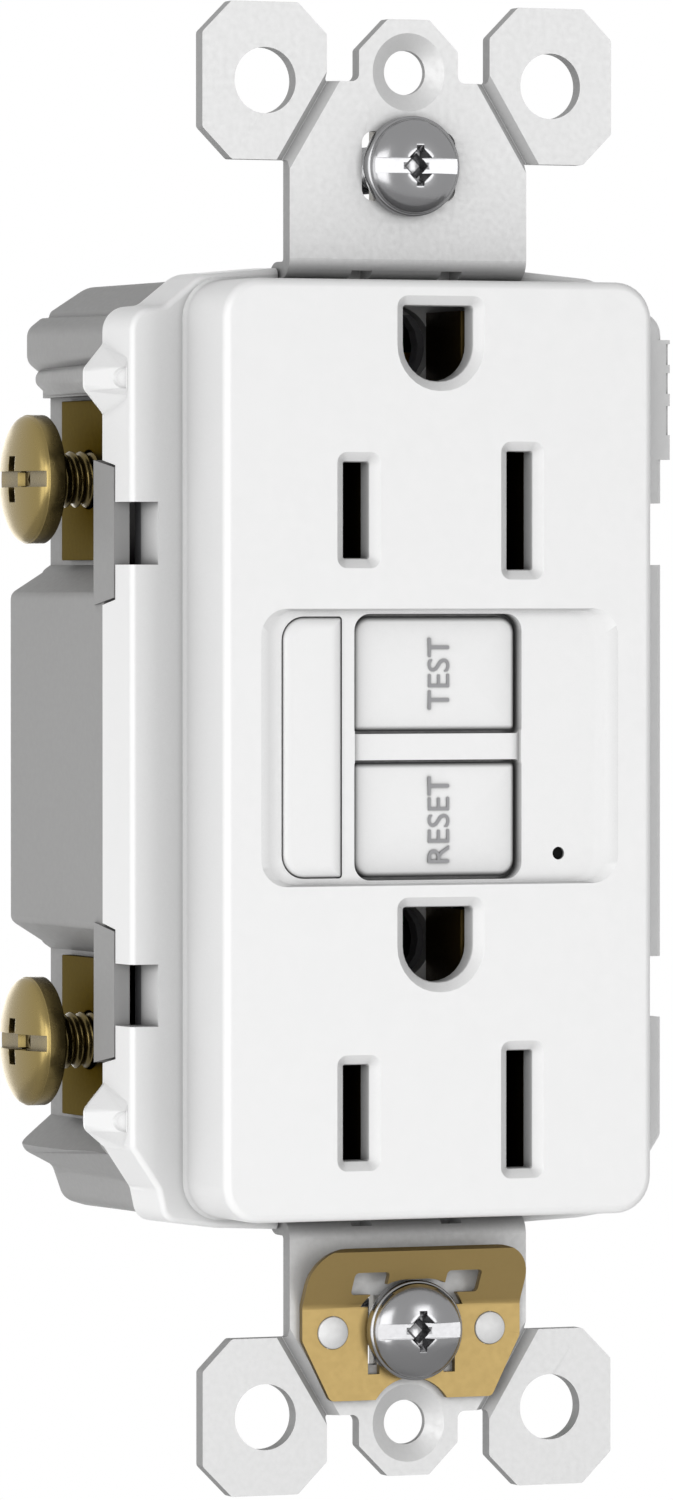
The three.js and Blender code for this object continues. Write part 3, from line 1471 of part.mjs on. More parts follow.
// Tube through both rings with a front flange, rear legs and wings that carry the contact arms
function transformerHolder() {
  const s = sensor;
  const rear = board.front - board.lift;
  const tube = revolvedAlongY([
    [s.boreRadius, s.front], [s.flangeRadius, s.front], [s.flangeRadius, s.front + s.flange],
    [s.tubeRadius, s.front + s.flange], [s.tubeRadius, rear], [s.boreRadius, rear], [s.boreRadius, s.front],
  ], 0, s.z, plainSides);
  const wings = block([-s.wingHalfWidth, s.wingHalfWidth], [s.wingFront, s.wingFront + s.wingThickness],
    [s.wingBottom, s.wingTop]);
  const neck = block([-s.tubeRadius, s.tubeRadius], [s.front, s.front + s.flange],
    [s.z + s.boreRadius + s.flange, s.wingBottom + s.flange]);
  return join(tube, wings, neck);
}

function contactArm(side) {
  const a = arm;
  return block([side * a.inner, side * a.outer].sort((p, q) => p - q), [a.front, a.front + a.thickness],
    [a.bottom, a.top]);
}

function circuitBoard() {
  const b = board;
  return block([-b.halfWidth, b.halfWidth], [b.front, b.front + b.thickness],
    [-b.halfHeight, b.halfHeight]);
}

const boardSeat = board.front - board.lift;

function varistor() {
  const b = board;
  return prism('y', circle(b.varistorX, b.varistorZ, b.varistorRadius, plainSides),
    boardSeat - b.varistorDepth, boardSeat);
}

function capacitor() {
  const b = board;
  const corners = rectangle(b.capacitorX - b.capacitorHalf, b.capacitorX + b.capacitorHalf,
    b.capacitorZ - b.capacitorHalf, b.capacitorZ + b.capacitorHalf, b.capacitorHalf / 5);
  return prism('y', rounded(corners), boardSeat - b.capacitorDepth, boardSeat);
}

function controlChip() {
  const b = board;
  return block([-b.chipHalfX, b.chipHalfX], [boardSeat - b.chipDepth, boardSeat], [b.chipZ - b.chipHalfZ,
    b.chipZ + b.chipHalfZ]);
}

function testResistor() {
  const b = board;
  return prism('z', circle(b.resistorX, boardSeat - b.resistorRadius, b.resistorRadius, plainSides),
    b.resistorZ - b.resistorHalf, b.resistorZ + b.resistorHalf);
}

// Long screw from the rear of the housing into a post of the cover
function bodyScrewAt(side, z) {
  const b = bodyScrew;
  const under = housing.rear - housing.sinkDepth + running;
  const tip = shoulderY + cover.wall + b.tip;
  const profile = [
    [0, under + b.head], [b.headRadius, under + b.head], [b.headRadius, under], [b.radius, under],
    [b.radius, tip], [0, tip],
  ];
  return revolvedAlongY(profile, side * cover.postX, z, plainSides);
}

// Materials, one for each finish
const finishes = {
  white: { color: 0xf1f1ef, roughness: 0.35, metalness: 0 },
  gray: { color: 0x9c9c9c, roughness: 0.5, metalness: 0 },
  steel: { color: 0xc9cacb, roughness: 0.38, metalness: 1 },
  polished: { color: 0xb9bcc0, roughness: 0.2, metalness: 1 },
  brass: { color: 0xb69255, roughness: 0.32, metalness: 1 },
  screwBrass: { color: 0xa98a4a, roughness: 0.25, metalness: 1 },
  silver: { color: 0xc4c6c8, roughness: 0.25, metalness: 1 },
  green: { color: 0x2f7a45, roughness: 0.35, metalness: 1 },
  copper: { color: 0xb8734a, roughness: 0.35, metalness: 1 },
  black: { color: 0x1c1c1e, roughness: 0.5, metalness: 0 },
  fibre: { color: 0xb9a27a, roughness: 0.8, metalness: 0 },
  board: { color: 0x2d5f3a, roughness: 0.55, metalness: 0 },
  blue: { color: 0x2c5ea8, roughness: 0.45, metalness: 0 },
  yellow: { color: 0xc79a2c, roughness: 0.5, metalness: 0 },
  clear: { color: 0x2a2c2e, roughness: 0.15, metalness: 0 },
};

const outletModel = new THREE.Group();

function add(name, geometry, finish) {
  const mesh = new THREE.Mesh(welded(geometry), new THREE.MeshStandardMaterial(finishes[finish]));
  mesh.name = name;
  outletModel.add(mesh);
}

add('front_cover', frontCover(), 'white');
add('badge_insert', badgeInsert(), 'white');
add('indicator_lens', indicatorLens(), 'clear');
add('indicator_lamp', indicatorLamp(), 'clear');
add('mounting_strap', mountingStrap(), 'steel');
add('self_ground_clip', selfGroundClip(), 'brass');
add('clip_rivet_left', clipRivet(-1), 'steel');
add('clip_rivet_right', clipRivet(1), 'steel');
add('rear_housing', rearHousing(), 'gray');
add('separator_frame', separatorFrame(), 'gray');
add('ground_screw', groundScrew(), 'green');
add('ground_clamp', groundClamp(), 'steel');
for (const [end, place] of [[1, 'upper'], [-1, 'lower']]) {
  add(`mounting_screw_${place}`, mountingScrew(end), 'polished');
  add(`screw_retainer_${place}`, screwRetainer(end), 'fibre');
  add(`ground_contact_${place}`, groundContact(outletCentres[end > 0 ? 0 : 1] + outlet.groundRise),
    'brass');
}
for (const [z, feed] of [[terminal.upperZ, 'line'], [terminal.lowerZ, 'load']]) {
  for (const [side, pole] of [[-1, 'hot'], [1, 'neutral']]) {
    const hot = side < 0;
    add(`${feed}_${pole}_terminal`, terminalBracket(side, z), hot ? 'brass' : 'silver');
    add(`${feed}_${pole}_clamp`, clampPlate(side, z), hot ? 'brass' : 'silver');
    add(`${feed}_${pole}_screw`, terminalScrewAt(side, z), hot ? 'screwBrass' : 'silver');
  }
}
add('hot_receptacle_contacts', receptacleContacts(-1, outlet.hotHeight), 'brass');
add('neutral_receptacle_contacts', receptacleContacts(1, outlet.neutralHeight), 'brass');
add('hot_contact_arm', contactArm(-1), 'copper');
add('neutral_contact_arm', contactArm(1), 'copper');
add('test_button', testButton(), 'white');
add('test_blade', testBladeSolid(), 'copper');
add('reset_button', resetButton(), 'white');
add('reset_pin', resetPin(), 'steel');
add('reset_spring', resetSpringSolid(), 'steel');
add('latch_block', latchBlock(), 'black');
add('latch_plate', latchPlate(), 'steel');
add('solenoid_plunger', plunger(), 'steel');
add('plunger_spring', plungerSpring(), 'steel');
add('solenoid_bobbin', bobbin(), 'black');
add('solenoid_coil', solenoidCoil(), 'copper');
add('solenoid_frame', solenoidFrame(), 'steel');
add('sensing_transformer', transformerRing(0), 'yellow');
add('grounded_neutral_transformer', transformerRing(1), 'yellow');
add('transformer_holder', transformerHolder(), 'black');
add('circuit_board', circuitBoard(), 'board');
add('surge_varistor', varistor(), 'blue');
add('filter_capacitor', capacitor(), 'yellow');
add('control_chip', controlChip(), 'black');
add('test_resistor', testResistor(), 'fibre');
for (const [side, flank] of [[-1, 'left'], [1, 'right']]) {
  for (const [z, place] of [[cover.postZ, 'upper'], [-cover.postZ, 'lower']]) {
    add(`body_screw_${place}_${flank}`, bodyScrewAt(side, z), 'steel');
  }
}

export default outletModel;
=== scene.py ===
"""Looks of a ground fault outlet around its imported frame: metres, +Z up, the face along -Y.

Shapes are built in millimetres in the same frame and scaled when they are finished.
"""
import json
import math
from types import SimpleNamespace as Sizes

import bmesh
import bpy
from mathutils import Matrix, Vector


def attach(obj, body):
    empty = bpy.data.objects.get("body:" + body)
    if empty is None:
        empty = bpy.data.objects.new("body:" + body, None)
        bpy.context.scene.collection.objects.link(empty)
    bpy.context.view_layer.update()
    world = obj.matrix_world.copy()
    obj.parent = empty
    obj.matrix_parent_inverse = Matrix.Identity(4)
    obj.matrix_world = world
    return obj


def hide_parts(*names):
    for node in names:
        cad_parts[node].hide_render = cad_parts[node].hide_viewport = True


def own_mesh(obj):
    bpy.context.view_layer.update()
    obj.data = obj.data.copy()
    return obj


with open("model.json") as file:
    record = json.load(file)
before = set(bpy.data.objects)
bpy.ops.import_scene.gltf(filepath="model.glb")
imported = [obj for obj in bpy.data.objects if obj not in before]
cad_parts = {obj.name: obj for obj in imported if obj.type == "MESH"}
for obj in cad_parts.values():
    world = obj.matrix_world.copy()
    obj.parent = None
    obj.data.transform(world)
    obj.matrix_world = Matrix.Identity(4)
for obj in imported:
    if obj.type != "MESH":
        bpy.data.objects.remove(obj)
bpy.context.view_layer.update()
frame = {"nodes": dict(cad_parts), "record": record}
nodes = frame["nodes"]
slot_of = {s["node"]: s["material_slot"] for s in frame["record"]["subparts"]}
body_of = {n: b for b, group in frame["record"]["behaviour"]["bodies"].items() for n in group}
MM = 0.001
SIDES = (-1, 1)


# Materials
DRIFT = {"Scale": 40, "Detail": 4}
GRAIN = {"Scale": 2500, "Detail": 3}
RELIEF = {"Scale": 900, "Detail": 5}
RELIEF_DEPTH = 0.2 * MM
CREVICE_SHADE_REACH = 0.6 * MM
SHADOW_REACH = 9 * MM
TURNED_SHADE_RANGE = {"From Min": 0.3, "From Max": 0.92}
WORN_GRAIN = {"From Min": 0.3, "From Max": 0.7}


def add(tree, kind, sockets, **settings):
    """Adds a shader node; each socket gets a value or the output of another node."""
    node = tree.nodes.new("ShaderNode" + kind)
    for name, value in settings.items():
        setattr(node, name, value)
    for key, value in sockets.items():
        if isinstance(value, bpy.types.NodeSocket):
            tree.links.new(value, node.inputs[key])
        else:
            node.inputs[key].default_value = value
    return node.outputs


def scaled(color, share):
    return (*(min(1.0, max(0.0, c * share)) for c in color), 1)


def surface(name, color, metallic=0.0, rough=0.4, rough_var=0.06, bump=0.02, shade=0.03,
            brushed=None, ior=1.46, crevice_shade=0.0, shadow=0.0, turned_shade=0.0, tint=None):
    """A surface with fine grain and slow colour drift, with painted shade in its corners and
    hollows, and where asked on faces turned away from Y.
    """
    mat = bpy.data.materials.new(name)
    mat.use_nodes = True
    tree = mat.node_tree
    tree.nodes.clear()

    def mix(share, low, high):
        # sockets 6 and 7 and output 2 are the ones for colours
        return add(tree, "Mix", {0: share, 6: low, 7: high}, data_type="RGBA")[2]

    coord = add(tree, "TexCoord", {})
    where = coord["Object"]
    fine = add(tree, "Mapping", {"Vector": where, "Scale": brushed})[0] if brushed else where
    drift = add(tree, "TexNoise", {"Vector": where, **DRIFT})[0]
    base = mix(drift, scaled(color, 1 - shade), scaled(color, 1 + shade))
    # painted shade: both occlusion terms darken the colour where other surfaces are near, the short
    # one in crevices and gaps, the long one in hollows and beside walls
    for reach, depth in ((CREVICE_SHADE_REACH, crevice_shade), (SHADOW_REACH, shadow)):
        if depth:
            open_air = add(tree, "AmbientOcclusion", {"Distance": reach}, samples=8)["AO"]
            base = mix(open_air, scaled(color, 1 - depth), base)
    if turned_shade:
        # painted shade: faces turned away from Y, such as the sides of a sheet, its bends and a
        # leaning flap, are darker than the faces that look along Y
        along = add(tree, "SeparateXYZ", {0: coord["Normal"]})["Y"]
        either_way = add(tree, "Math", {0: along}, operation="ABSOLUTE")[0]
        facing = add(tree, "MapRange", {"Value": either_way, **TURNED_SHADE_RANGE})[0]
        base = mix(facing, scaled(color, 1 - turned_shade), base)
    grain = add(tree, "TexNoise", {"Vector": fine, **GRAIN})[0]
    ends = {"To Min": max(0.02, rough - rough_var), "To Max": min(1.0, rough + rough_var)}
    worn = add(tree, "MapRange", {"Value": grain, **WORN_GRAIN, **ends})[0]
    relief = add(tree, "TexNoise", {"Vector": fine, **RELIEF})[0]
    bumps = add(tree, "Bump", {"Strength": bump, "Distance": RELIEF_DEPTH, "Height": relief})[0]
    shader = {"Base Color": base, "Metallic": metallic, "IOR": ior, "Roughness": worn,
              "Normal": bumps}
    if tint:
        shader["Specular Tint"] = (*tint, 1)
    add(tree, "OutputMaterial", {0: add(tree, "BsdfPrincipled", shader)[0]})
    return mat


# In these looks the two occlusion strengths paint shade into crevices and hollows, and the facing
# strength paints shade on faces turned away from Y.
LOOKS = {
    "white_plastic": dict(color=(0.90, 0.90, 0.90), rough=0.34, shade=0.006, crevice_shade=0.93,
                          shadow=0.85),
    "gray_plastic": dict(color=(0.34, 0.338, 0.336), rough=0.5, bump=0.06, shade=0.02, crevice_shade=0.5,
                         shadow=0.3, ior=1.25),
    "inner_plastic": dict(color=(0.10, 0.10, 0.105), rough=0.6, bump=0.08),
    "plated_steel": dict(color=(0.67, 0.67, 0.67), metallic=0.7, rough=0.64, shade=0.015, crevice_shade=0.4,
                         shadow=0.42, turned_shade=0.5),
    "polished_steel": dict(color=(0.26, 0.26, 0.265), metallic=1.0, rough=0.2, rough_var=0.02,
                           bump=0.01, shade=0.01),
    "spring_steel": dict(color=(0.45, 0.46, 0.47), metallic=1.0, rough=0.3),
    "clip_brass": dict(color=(0.37, 0.265, 0.105), metallic=0.9, rough=0.45, rough_var=0.03,
                       bump=0.03, shade=0.015, crevice_shade=0.4, turned_shade=0.45),
    "contact_brass": dict(color=(0.22, 0.15, 0.05), metallic=1.0, rough=0.45, shadow=0.97),
    "green_steel": dict(color=(0.05, 0.30, 0.11), metallic=0.8, rough=0.35),
    "fibre": dict(color=(0.74, 0.72, 0.68), rough=0.8, bump=0.2),
    "silver_plate": dict(color=(0.56, 0.57, 0.58), metallic=1.0, rough=0.3, rough_var=0.02,
                         bump=0.01),
    "screw_brass": dict(color=(0.27, 0.205, 0.08), metallic=1.0, rough=0.26, rough_var=0.02,
                        bump=0.01, shade=0.01, shadow=0.85),
    "terminal_brass": dict(color=(0.155, 0.128, 0.072), metallic=1.0, rough=0.42, rough_var=0.03,
                           crevice_shade=0.6, shadow=0.6, tint=(0.42, 0.36, 0.24)),
    "contact_copper": dict(color=(0.65, 0.32, 0.18), metallic=1.0, rough=0.32),
    "coil_copper": dict(color=(0.50, 0.18, 0.07), metallic=0.9, rough=0.35, bump=0.4,
                        brushed=(1, 1, 12)),
    "black_nylon": dict(color=(0.02, 0.02, 0.022), rough=0.5, bump=0.1),
    "transformer_tape": dict(color=(0.55, 0.35, 0.05), bump=0.1),
    "board_laminate": dict(color=(0.02, 0.12, 0.05), rough=0.35, bump=0.05),
    "varistor_coat": dict(color=(0.02, 0.09, 0.35), bump=0.15),
    "capacitor_case": dict(color=(0.55, 0.33, 0.02), rough=0.35),
    "chip_epoxy": dict(color=(0.015, 0.015, 0.015), rough=0.6, bump=0.15),
    "resistor_body": dict(color=(0.45, 0.35, 0.17)),
    "button_ink": dict(color=(0.33, 0.33, 0.34), rough=0.5),
    # painted shade: the clear lens is coloured near black, as the dark inside behind it looks
    "indicator_clear": dict(color=(0.004, 0.004, 0.004), rough=0.6, ior=1.15),
}
MATERIALS = {name: surface(name, **look) for name, look in LOOKS.items()}


# What every piece goes through
def placed(name, data):
    obj = bpy.data.objects.new(name, data)
    bpy.context.scene.collection.objects.link(obj)
    return obj


def evaluated(obj):
    """A mesh of an object as its modifiers leave it."""
    bpy.context.view_layer.update()
    graph = bpy.context.evaluated_depsgraph_get()
    return bpy.data.meshes.new_from_object(obj.evaluated_get(graph))


def bevelled(obj, width, segments, angle):
    mod = obj.modifiers.new("edges", "BEVEL")
    mod.width = width
    mod.segments = segments
    mod.limit_method = "ANGLE"
    mod.angle_limit = math.radians(angle)
    mod.use_clamp_overlap = True
    return mod


def painted(obj, look):
    obj.data.materials.clear()
    obj.data.materials.append(MATERIALS[look])


def dress(node):
    """Gives a CAD node its material and fine rounded edges."""
    obj = nodes[node]
    painted(obj, slot_of[node])
    bevelled(obj, width=0.12 * MM, segments=2, angle=35).harden_normals = True


def finish(obj, node, edge=0.1, segments=2, angle=30, sharp=32):
    """Rounds the edges, scales to metres, and puts the piece in its CAD node's place."""
    obj.name = node + "_dressed"
    if edge:
        bevelled(obj, edge, segments, angle).miter_outer = "MITER_ARC"
        bake(obj)
    mesh = obj.data
    mesh.transform(Matrix.Scale(MM, 4))
    mesh.shade_smooth()
    mesh.set_sharp_from_angle(angle=math.radians(sharp))
    if edge:
        weigh = obj.modifiers.new("weigh", "WEIGHTED_NORMAL")
        weigh.keep_sharp = True
        weigh.weight = 80
    painted(obj, slot_of[node])
    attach(obj, body_of[node])
    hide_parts(node)


for name in nodes:
    dress(name)


# Outlines: lists of (a, b) points, or of (a, b, radius) corners
def rounded(corners, steps=8):
    """Corners become a closed line of points with rounded corners."""
    points = []
    n = len(corners)
    for i, (a, b, radius) in enumerate(corners):
        if not radius:
            points.append((a, b))
            continue
        p = Vector((a, b))
        u = (Vector(corners[i - 1][:2]) - p).normalized()
        v = (Vector(corners[(i + 1) % n][:2]) - p).normalized()
        half = math.acos(max(-1, min(1, u.dot(v)))) / 2
        centre = p + (u + v).normalized() * (radius / math.sin(half))
        start = p + u * (radius / math.tan(half)) - centre
        cross = u.x * v.y - u.y * v.x
        turn = math.copysign(math.pi - 2 * half, cross)
        for s in range(steps + 1):
            t = -turn * s / steps
            points.append((centre.x + start.x * math.cos(t) - start.y * math.sin(t),
                           centre.y + start.x * math.sin(t) + start.y * math.cos(t)))
    return points


def area(points):
    return sum(p[0] * q[1] - q[0] * p[1] for p, q in zip(points, points[1:] + points[:1])) / 2


def inset(corners, distance):
    """Moves every edge of a corner list inward."""
    winding = math.copysign(1, area([c[:2] for c in corners]))
    n = len(corners)
    made = []
    for i, (a, b, radius) in enumerate(corners):
        into = (Vector((a, b)) - Vector(corners[i - 1][:2])).normalized()
        out = (Vector(corners[(i + 1) % n][:2]) - Vector((a, b))).normalized()
        first = Vector((-into.y, into.x)) * winding
        second = Vector((-out.y, out.x)) * winding
        shift = (first + second) * (distance / (1 + first.dot(second)))
        convex = (into.x * out.y - into.y * out.x) * winding > 0
        new = max(radius - distance, radius / 5) if convex else radius + distance
        made.append((a + shift.x, b + shift.y, new if radius else 0))
    return made


def rectangle(a0, a1, b0, b1, radius=0):
    return [(a0, b0, radius), (a1, b0, radius), (a1, b1, radius), (a0, b1, radius)]


def centred(half_a, half_b, at_a, at_b, radius=0):
    return rectangle(at_a - half_a, at_a + half_a, at_b - half_b, at_b + half_b, radius)


def symmetric(half):
    return list(half) + [(-a, b, r) for a, b, r in reversed(half)]


def circle(a, b, radius, sides):
    return [(a + radius * math.cos(2 * math.pi * i / sides),
             b + radius * math.sin(2 * math.pi * i / sides)) for i in range(sides)]


def quarter(steps, first=0):
    """Pairs (sine, 1 - cosine) along a quarter turn, for rounded edges."""
    turns = [math.pi / 2 * s / steps for s in range(first, steps + 1)]
    return [(math.sin(t), 1 - math.cos(t)) for t in turns]


# Solids
PLACE = {
    "x": lambda a, b, t: (t, a, b),
    "y": lambda a, b, t: (a, t, b),
    "z": lambda a, b, t: (a, b, t),
}
# how far a cutting shape reaches past what it cuts
OVER = 1
MERGE = 1e-4


def around(centre, half):
    return (centre - half, centre + half)


def skin(rings):
    """A closed mesh over rings of points, its faces outward; a ring of one point is a tip."""
    verts, numbers = [], []
    for ring in rings:
        numbers.append(range(len(verts), len(verts) + len(ring)))
        verts += ring
    faces = [tuple(ends) for ends in (numbers[0], numbers[-1]) if len(ends) > 1]
    for low, high in zip(numbers, numbers[1:]):
        m, n = len(low), len(high)
        for i in range(max(m, n)):
            quad = (low[i % m], low[(i + 1) % m], high[(i + 1) % n], high[i % n])
            faces.append(tuple(dict.fromkeys(quad)))
    mesh = bpy.data.meshes.new("shape")
    mesh.from_pydata(verts, [], [face for face in faces if len(face) > 2])
    bm = bmesh.new()
    bm.from_mesh(mesh)
    bmesh.ops.remove_doubles(bm, verts=bm.verts, dist=MERGE)
    bmesh.ops.dissolve_degenerate(bm, edges=bm.edges, dist=MERGE)
    bmesh.ops.recalc_face_normals(bm, faces=bm.faces)
    bm.to_mesh(mesh)
    bm.free()
    return placed("shape", mesh)


def loft(axis, sections):
    """Joins outlines of equal point counts that lie across one axis."""
    return skin([[PLACE[axis](a, b, t) for a, b in points] for t, points in sections])


def prism(axis, points, t0, t1):
    return loft(axis, [(t0, points), (t1, points)])


def block(x, y, z):
    return prism("z", [(x[0], y[0]), (x[1], y[0]), (x[1], y[1]), (x[0], y[1])], z[0], z[1])


def rod(x, z, radius, front, rear, sides=32):
    return prism("y", circle(x, z, radius, sides), front, rear)


def revolved(profile, sides):
    """Turns a (radius, height) line that starts and ends on the axis about local Z."""
    return skin([[(a, b, height) for a, b in circle(0, 0, radius, sides if radius else 1)]
                 for radius, height in profile])


def levelled(corners, steps, levels):
    """A solid across Y from levels, each a place along Y and how far the outline is inset."""
    return loft("y", [(y, rounded(inset(corners, depth), steps)) for y, depth in levels])


def edged_slab(corners, front, rear, edge, steps=8, corner_steps=8):
    """A slab across Y whose front edge is rounded."""
    levels = [(front + edge * fall, edge * (1 - rise)) for rise, fall in quarter(steps)]
    return levelled(corners, corner_steps, levels + [(rear, 0)])


def bake(obj):
    """Applies the modifiers of a shape."""
    mesh = evaluated(obj)
    obj.modifiers.clear()
    obj.data = mesh


def combine(base, tools, operation):
    """Joins to, or cuts from, a shape; the other shapes are used up."""
    group = bpy.data.collections.new("used")
    for tool in tools:
        bpy.context.scene.collection.objects.unlink(tool)
        group.objects.link(tool)
    bpy.context.scene.collection.children.link(group)
    mod = base.modifiers.new("combine", "BOOLEAN")
    mod.operand_type = "COLLECTION"
    mod.collection = group
    mod.solver = "EXACT"
    mod.operation = operation
    bake(base)
    for tool in tools:
        bpy.data.objects.remove(tool)
    bpy.data.collections.remove(group)
    return base


def join(base, *tools):
    return combine(base, tools, "UNION")


def cut(base, *tools):
    return combine(base, tools, "DIFFERENCE")


def moved(obj, matrix):
    obj.data.transform(matrix)
    if matrix.determinant() < 0:
        obj.data.flip_normals()
    return obj


def twin_of(obj):
    return placed("shape", obj.data.copy())


def aimed(obj, across, direction, at):
    """Places a shape built along local Z so that it points along one direction."""
    across, direction = Vector(across), Vector(direction)
    turn = Matrix((across, direction.cross(across), direction)).transposed().to_4x4()
    turn.translation = Vector(at)
    return moved(obj, turn)


# Front cover
FACE_Y, SHOULDER, SKIRT_REAR = -7.0, 0.4, 5.6
THROUGH_FACE = -3.1
HALF_W, HALF_H, WALL = 20.8, 34.4, 1.5
SKIRT_SHARES = [
    (0.433, 1, 0.58), (0.74, 0.983, 0.115), (0.875, 0.919, 0.058), (1, 0.911, 0.082),
    (1, -0.823, 0.038), (0.901, -0.911, 0.048), (0.877, -0.977, 0.062), (0.683, -0.993, 0.29),
    (0.433, -1, 0.58),
]
SKIRT = symmetric([(x * HALF_W, z * HALF_H, r * HALF_W) for x, z, r in SKIRT_SHARES])
SKIRT_EDGE, SKIRT_FLARE, SKIRT_STEPS = 0.45, 0.1, 10
FACE = centred(16.62, 33.4, 0, 0, 2.7)
FACE_EDGE, FACE_WALL = 0.62, 1.9
# how far the foot of the face block spreads, by its place behind the shoulder
FOOT_SPREAD = [(-0.5, 0), (-0.2, 0.1), (0.3, 0.4)]
POSTS = [(side * 15.8, z) for side in SIDES for z in (-29.6, 29.6)]
POST_RADIUS = 2.3

OUTLETS = (17.02, -25.75)
BLADE = Sizes(x=6.35, half_w=0.95, neutral=6.8, hot=8.4, corner=0.1)
GROUND = Sizes(rise=11.87, radius=2.67, corner=0.2, round_share=0.97)
LEAD_CORNER = 0.9
# the lead-in of an opening: depth under the face and growth of the outline
LEAD_IN = [(-OVER, 0.74), (-0.02, 0.74), (0.08, 0.64), (0.55, 0.07), (0.72, 0)]

# each latch window, and the tab of the housing in it, as spans along Z
LATCHES = (((13.16, 17.63), (10.27, 20.65)), ((-19.7, -15.27), (-22.5, -12.45)))
TAB = Sizes(lead=2.2, slope=0.55, room=0.15, thickness=1.1)
LEDGE = Sizes(inset=2.1, reach=3.3, frame=1)
NOTCH = Sizes(half=9.5, shallow=33.5, deep=31.1, end=36, front=1.2)

LUG = Sizes(z=26.45, start=SHOULDER + 0.65, full=SKIRT_REAR - 0.5, rise=1.66, rear_rise=1.6,
            start_rise=0.02, tip_half=0.7, tip_round=0.75, run=1.4, spread=0.75, foot=1.2,
            foot_round=1.1, crease_round=0.05, inner=0.75)
# the foot of a lower lug on the chamfer of the skirt
LOW_LUG_FOOT = [(HALF_W - 2.2, -30.6, 0), (19.2, -30.6, LUG.crease_round),
                (20.41, -28.81, LUG.foot_round)]
D_POCKET = Sizes(reach=1.5, half=0.86, shift=0.12, out=0.1, back=0.22,
                 sections=[(-0.16, 0.72), (-0.1, 0.84), (0.4, 1.3)])
MOULDED_TAB = Sizes(inner=0.45, outer=0.6, depth=0.85, low=20.8, high=29.5, groove_x=0.3,
                    groove_y=0.35, grooves=((27.7, 29.2), (25.6, 27.1), (22.6, 24.7)))

RECESS_FLOOR = -6.5
RECESS_Z, RECESS_CORNER = 0.2, 2
# half width and half height of the recess, by its place along Y
RECESS_SIZES = [(FACE_Y - OVER, 13.87, 9.84), (FACE_Y, 13.87, 9.84),
                (RECESS_FLOOR - 0.1, 13.1, 9.7), (RECESS_FLOOR, 12.15, 9.59)]
WELLS = {"test_button": (1.13, 9.67), "reset_button": (-9.27, -0.73)}
WELL = Sizes(half=6.5, bar_round=0.35, far_round=1.2)
BAR = Sizes(half=6.46, out=0.5, drop=0.4, z=(-1.2, 1.6))
BADGE_POCKET = [(-12.1, -9.09, 1.7), (-7.45, -9.09, 0.25), (-7.45, 9.49, 0.25), (-12.1, 9.49, 1.7)]
BADGE_DEPTH = 0.5
LENS = Sizes(x=9.39, z=-7.48, radius=0.39, hole=0.46, front=-6.36, rear=3.6, edge=(0.05, 0.04))


def ground_corners(z, grow):
    r = GROUND.radius + grow
    top = GROUND.corner + LEAD_CORNER * grow
    low = GROUND.round_share * r
    return [(-r, z + r, top), (-r, z - r, low), (r, z - r, low), (r, z + r, top)]


def slot_corners(x, z, height, grow):
    corner = BLADE.corner + LEAD_CORNER * grow
    return centred(BLADE.half_w + grow, height / 2 + grow, x, z, corner)


def lead_in(corners_at):
    """An opening through the face with a sloped lead-in whose outer edge is softly rounded."""
    sections = [(FACE_Y + depth, rounded(corners_at(grow))) for depth, grow in LEAD_IN]
    return loft("y", sections + [(THROUGH_FACE, rounded(corners_at(0)))])


def outlet_openings():
    tools = []
    for z in OUTLETS:
        tools.append(lead_in(lambda grow: slot_corners(-BLADE.x, z, BLADE.neutral, grow)))
        tools.append(lead_in(lambda grow: slot_corners(BLADE.x, z, BLADE.hot, grow)))
        tools.append(lead_in(lambda grow: ground_corners(z + GROUND.rise, grow)))
    return tools


def latch_tab(low, high, margin, rear):
    front = SKIRT_REAR - TAB.lead - margin
    return [(rear, low - margin), (front, low + TAB.slope - margin),
            (front, high - TAB.slope + margin), (rear, high + margin)]


def side_lug(side, z):
    """A pointed lug whose flanks run out softly, the lower ones into the chamfer of the skirt."""
    def at(rise):
        run = LUG.run + LUG.spread * rise
        foot = run + LUG.foot
        low = [(HALF_W - LUG.inner, z - foot, 0), (HALF_W, z - foot, LUG.crease_round),
               (HALF_W, z - run, LUG.foot_round)]
        tip = [(HALF_W + rise, z - LUG.tip_half, LUG.tip_round),
               (HALF_W + rise, z + LUG.tip_half, LUG.tip_round)]
        high = [(HALF_W, z + run, LUG.foot_round), (HALF_W, z + foot, LUG.crease_round),
                (HALF_W - LUG.inner, z + foot, 0)]
        line = (LOW_LUG_FOOT if z < 0 else low) + tip + high
        return rounded([(side * x, up, r) for x, up, r in line], 6)
    return loft("y", [(LUG.start, at(LUG.start_rise)), (LUG.full, at(LUG.rise)),
                      (SKIRT_REAR, at(LUG.rear_rise))])


def d_pocket(side, z):
    """The shallow D on the slope of a lug, its round end towards the rear."""
    def outline(share):
        arc = [math.pi * (i / 16 - 0.5) for i in range(17)]
        return [(side * (D_POCKET.reach * math.cos(t) - D_POCKET.shift) * share,
                 D_POCKET.half * math.sin(t) * share) for t in arc]
    shape = loft("z", [(height, outline(share)) for height, share in D_POCKET.sections])
    slope = math.atan2(LUG.full - LUG.start, LUG.rise)
    turn = Matrix.Rotation(slope * side, 4, "Z") @ Matrix.Rotation(math.radians(90), 4, "X")
    turn.translation = Vector((side * (HALF_W + D_POCKET.out), LUG.start + D_POCKET.back, z))
    return moved(shape, turn)


def well(low, high, margin):
    """A button well or button outline, rounder away from the bar between the two."""
    w = WELL.half - margin
    below, above = (WELL.bar_round, WELL.far_round) if low > 0 else (WELL.far_round, WELL.bar_round)
    return [(-w, low + margin, below), (w, low + margin, below),
            (w, high - margin, above), (-w, high - margin, above)]


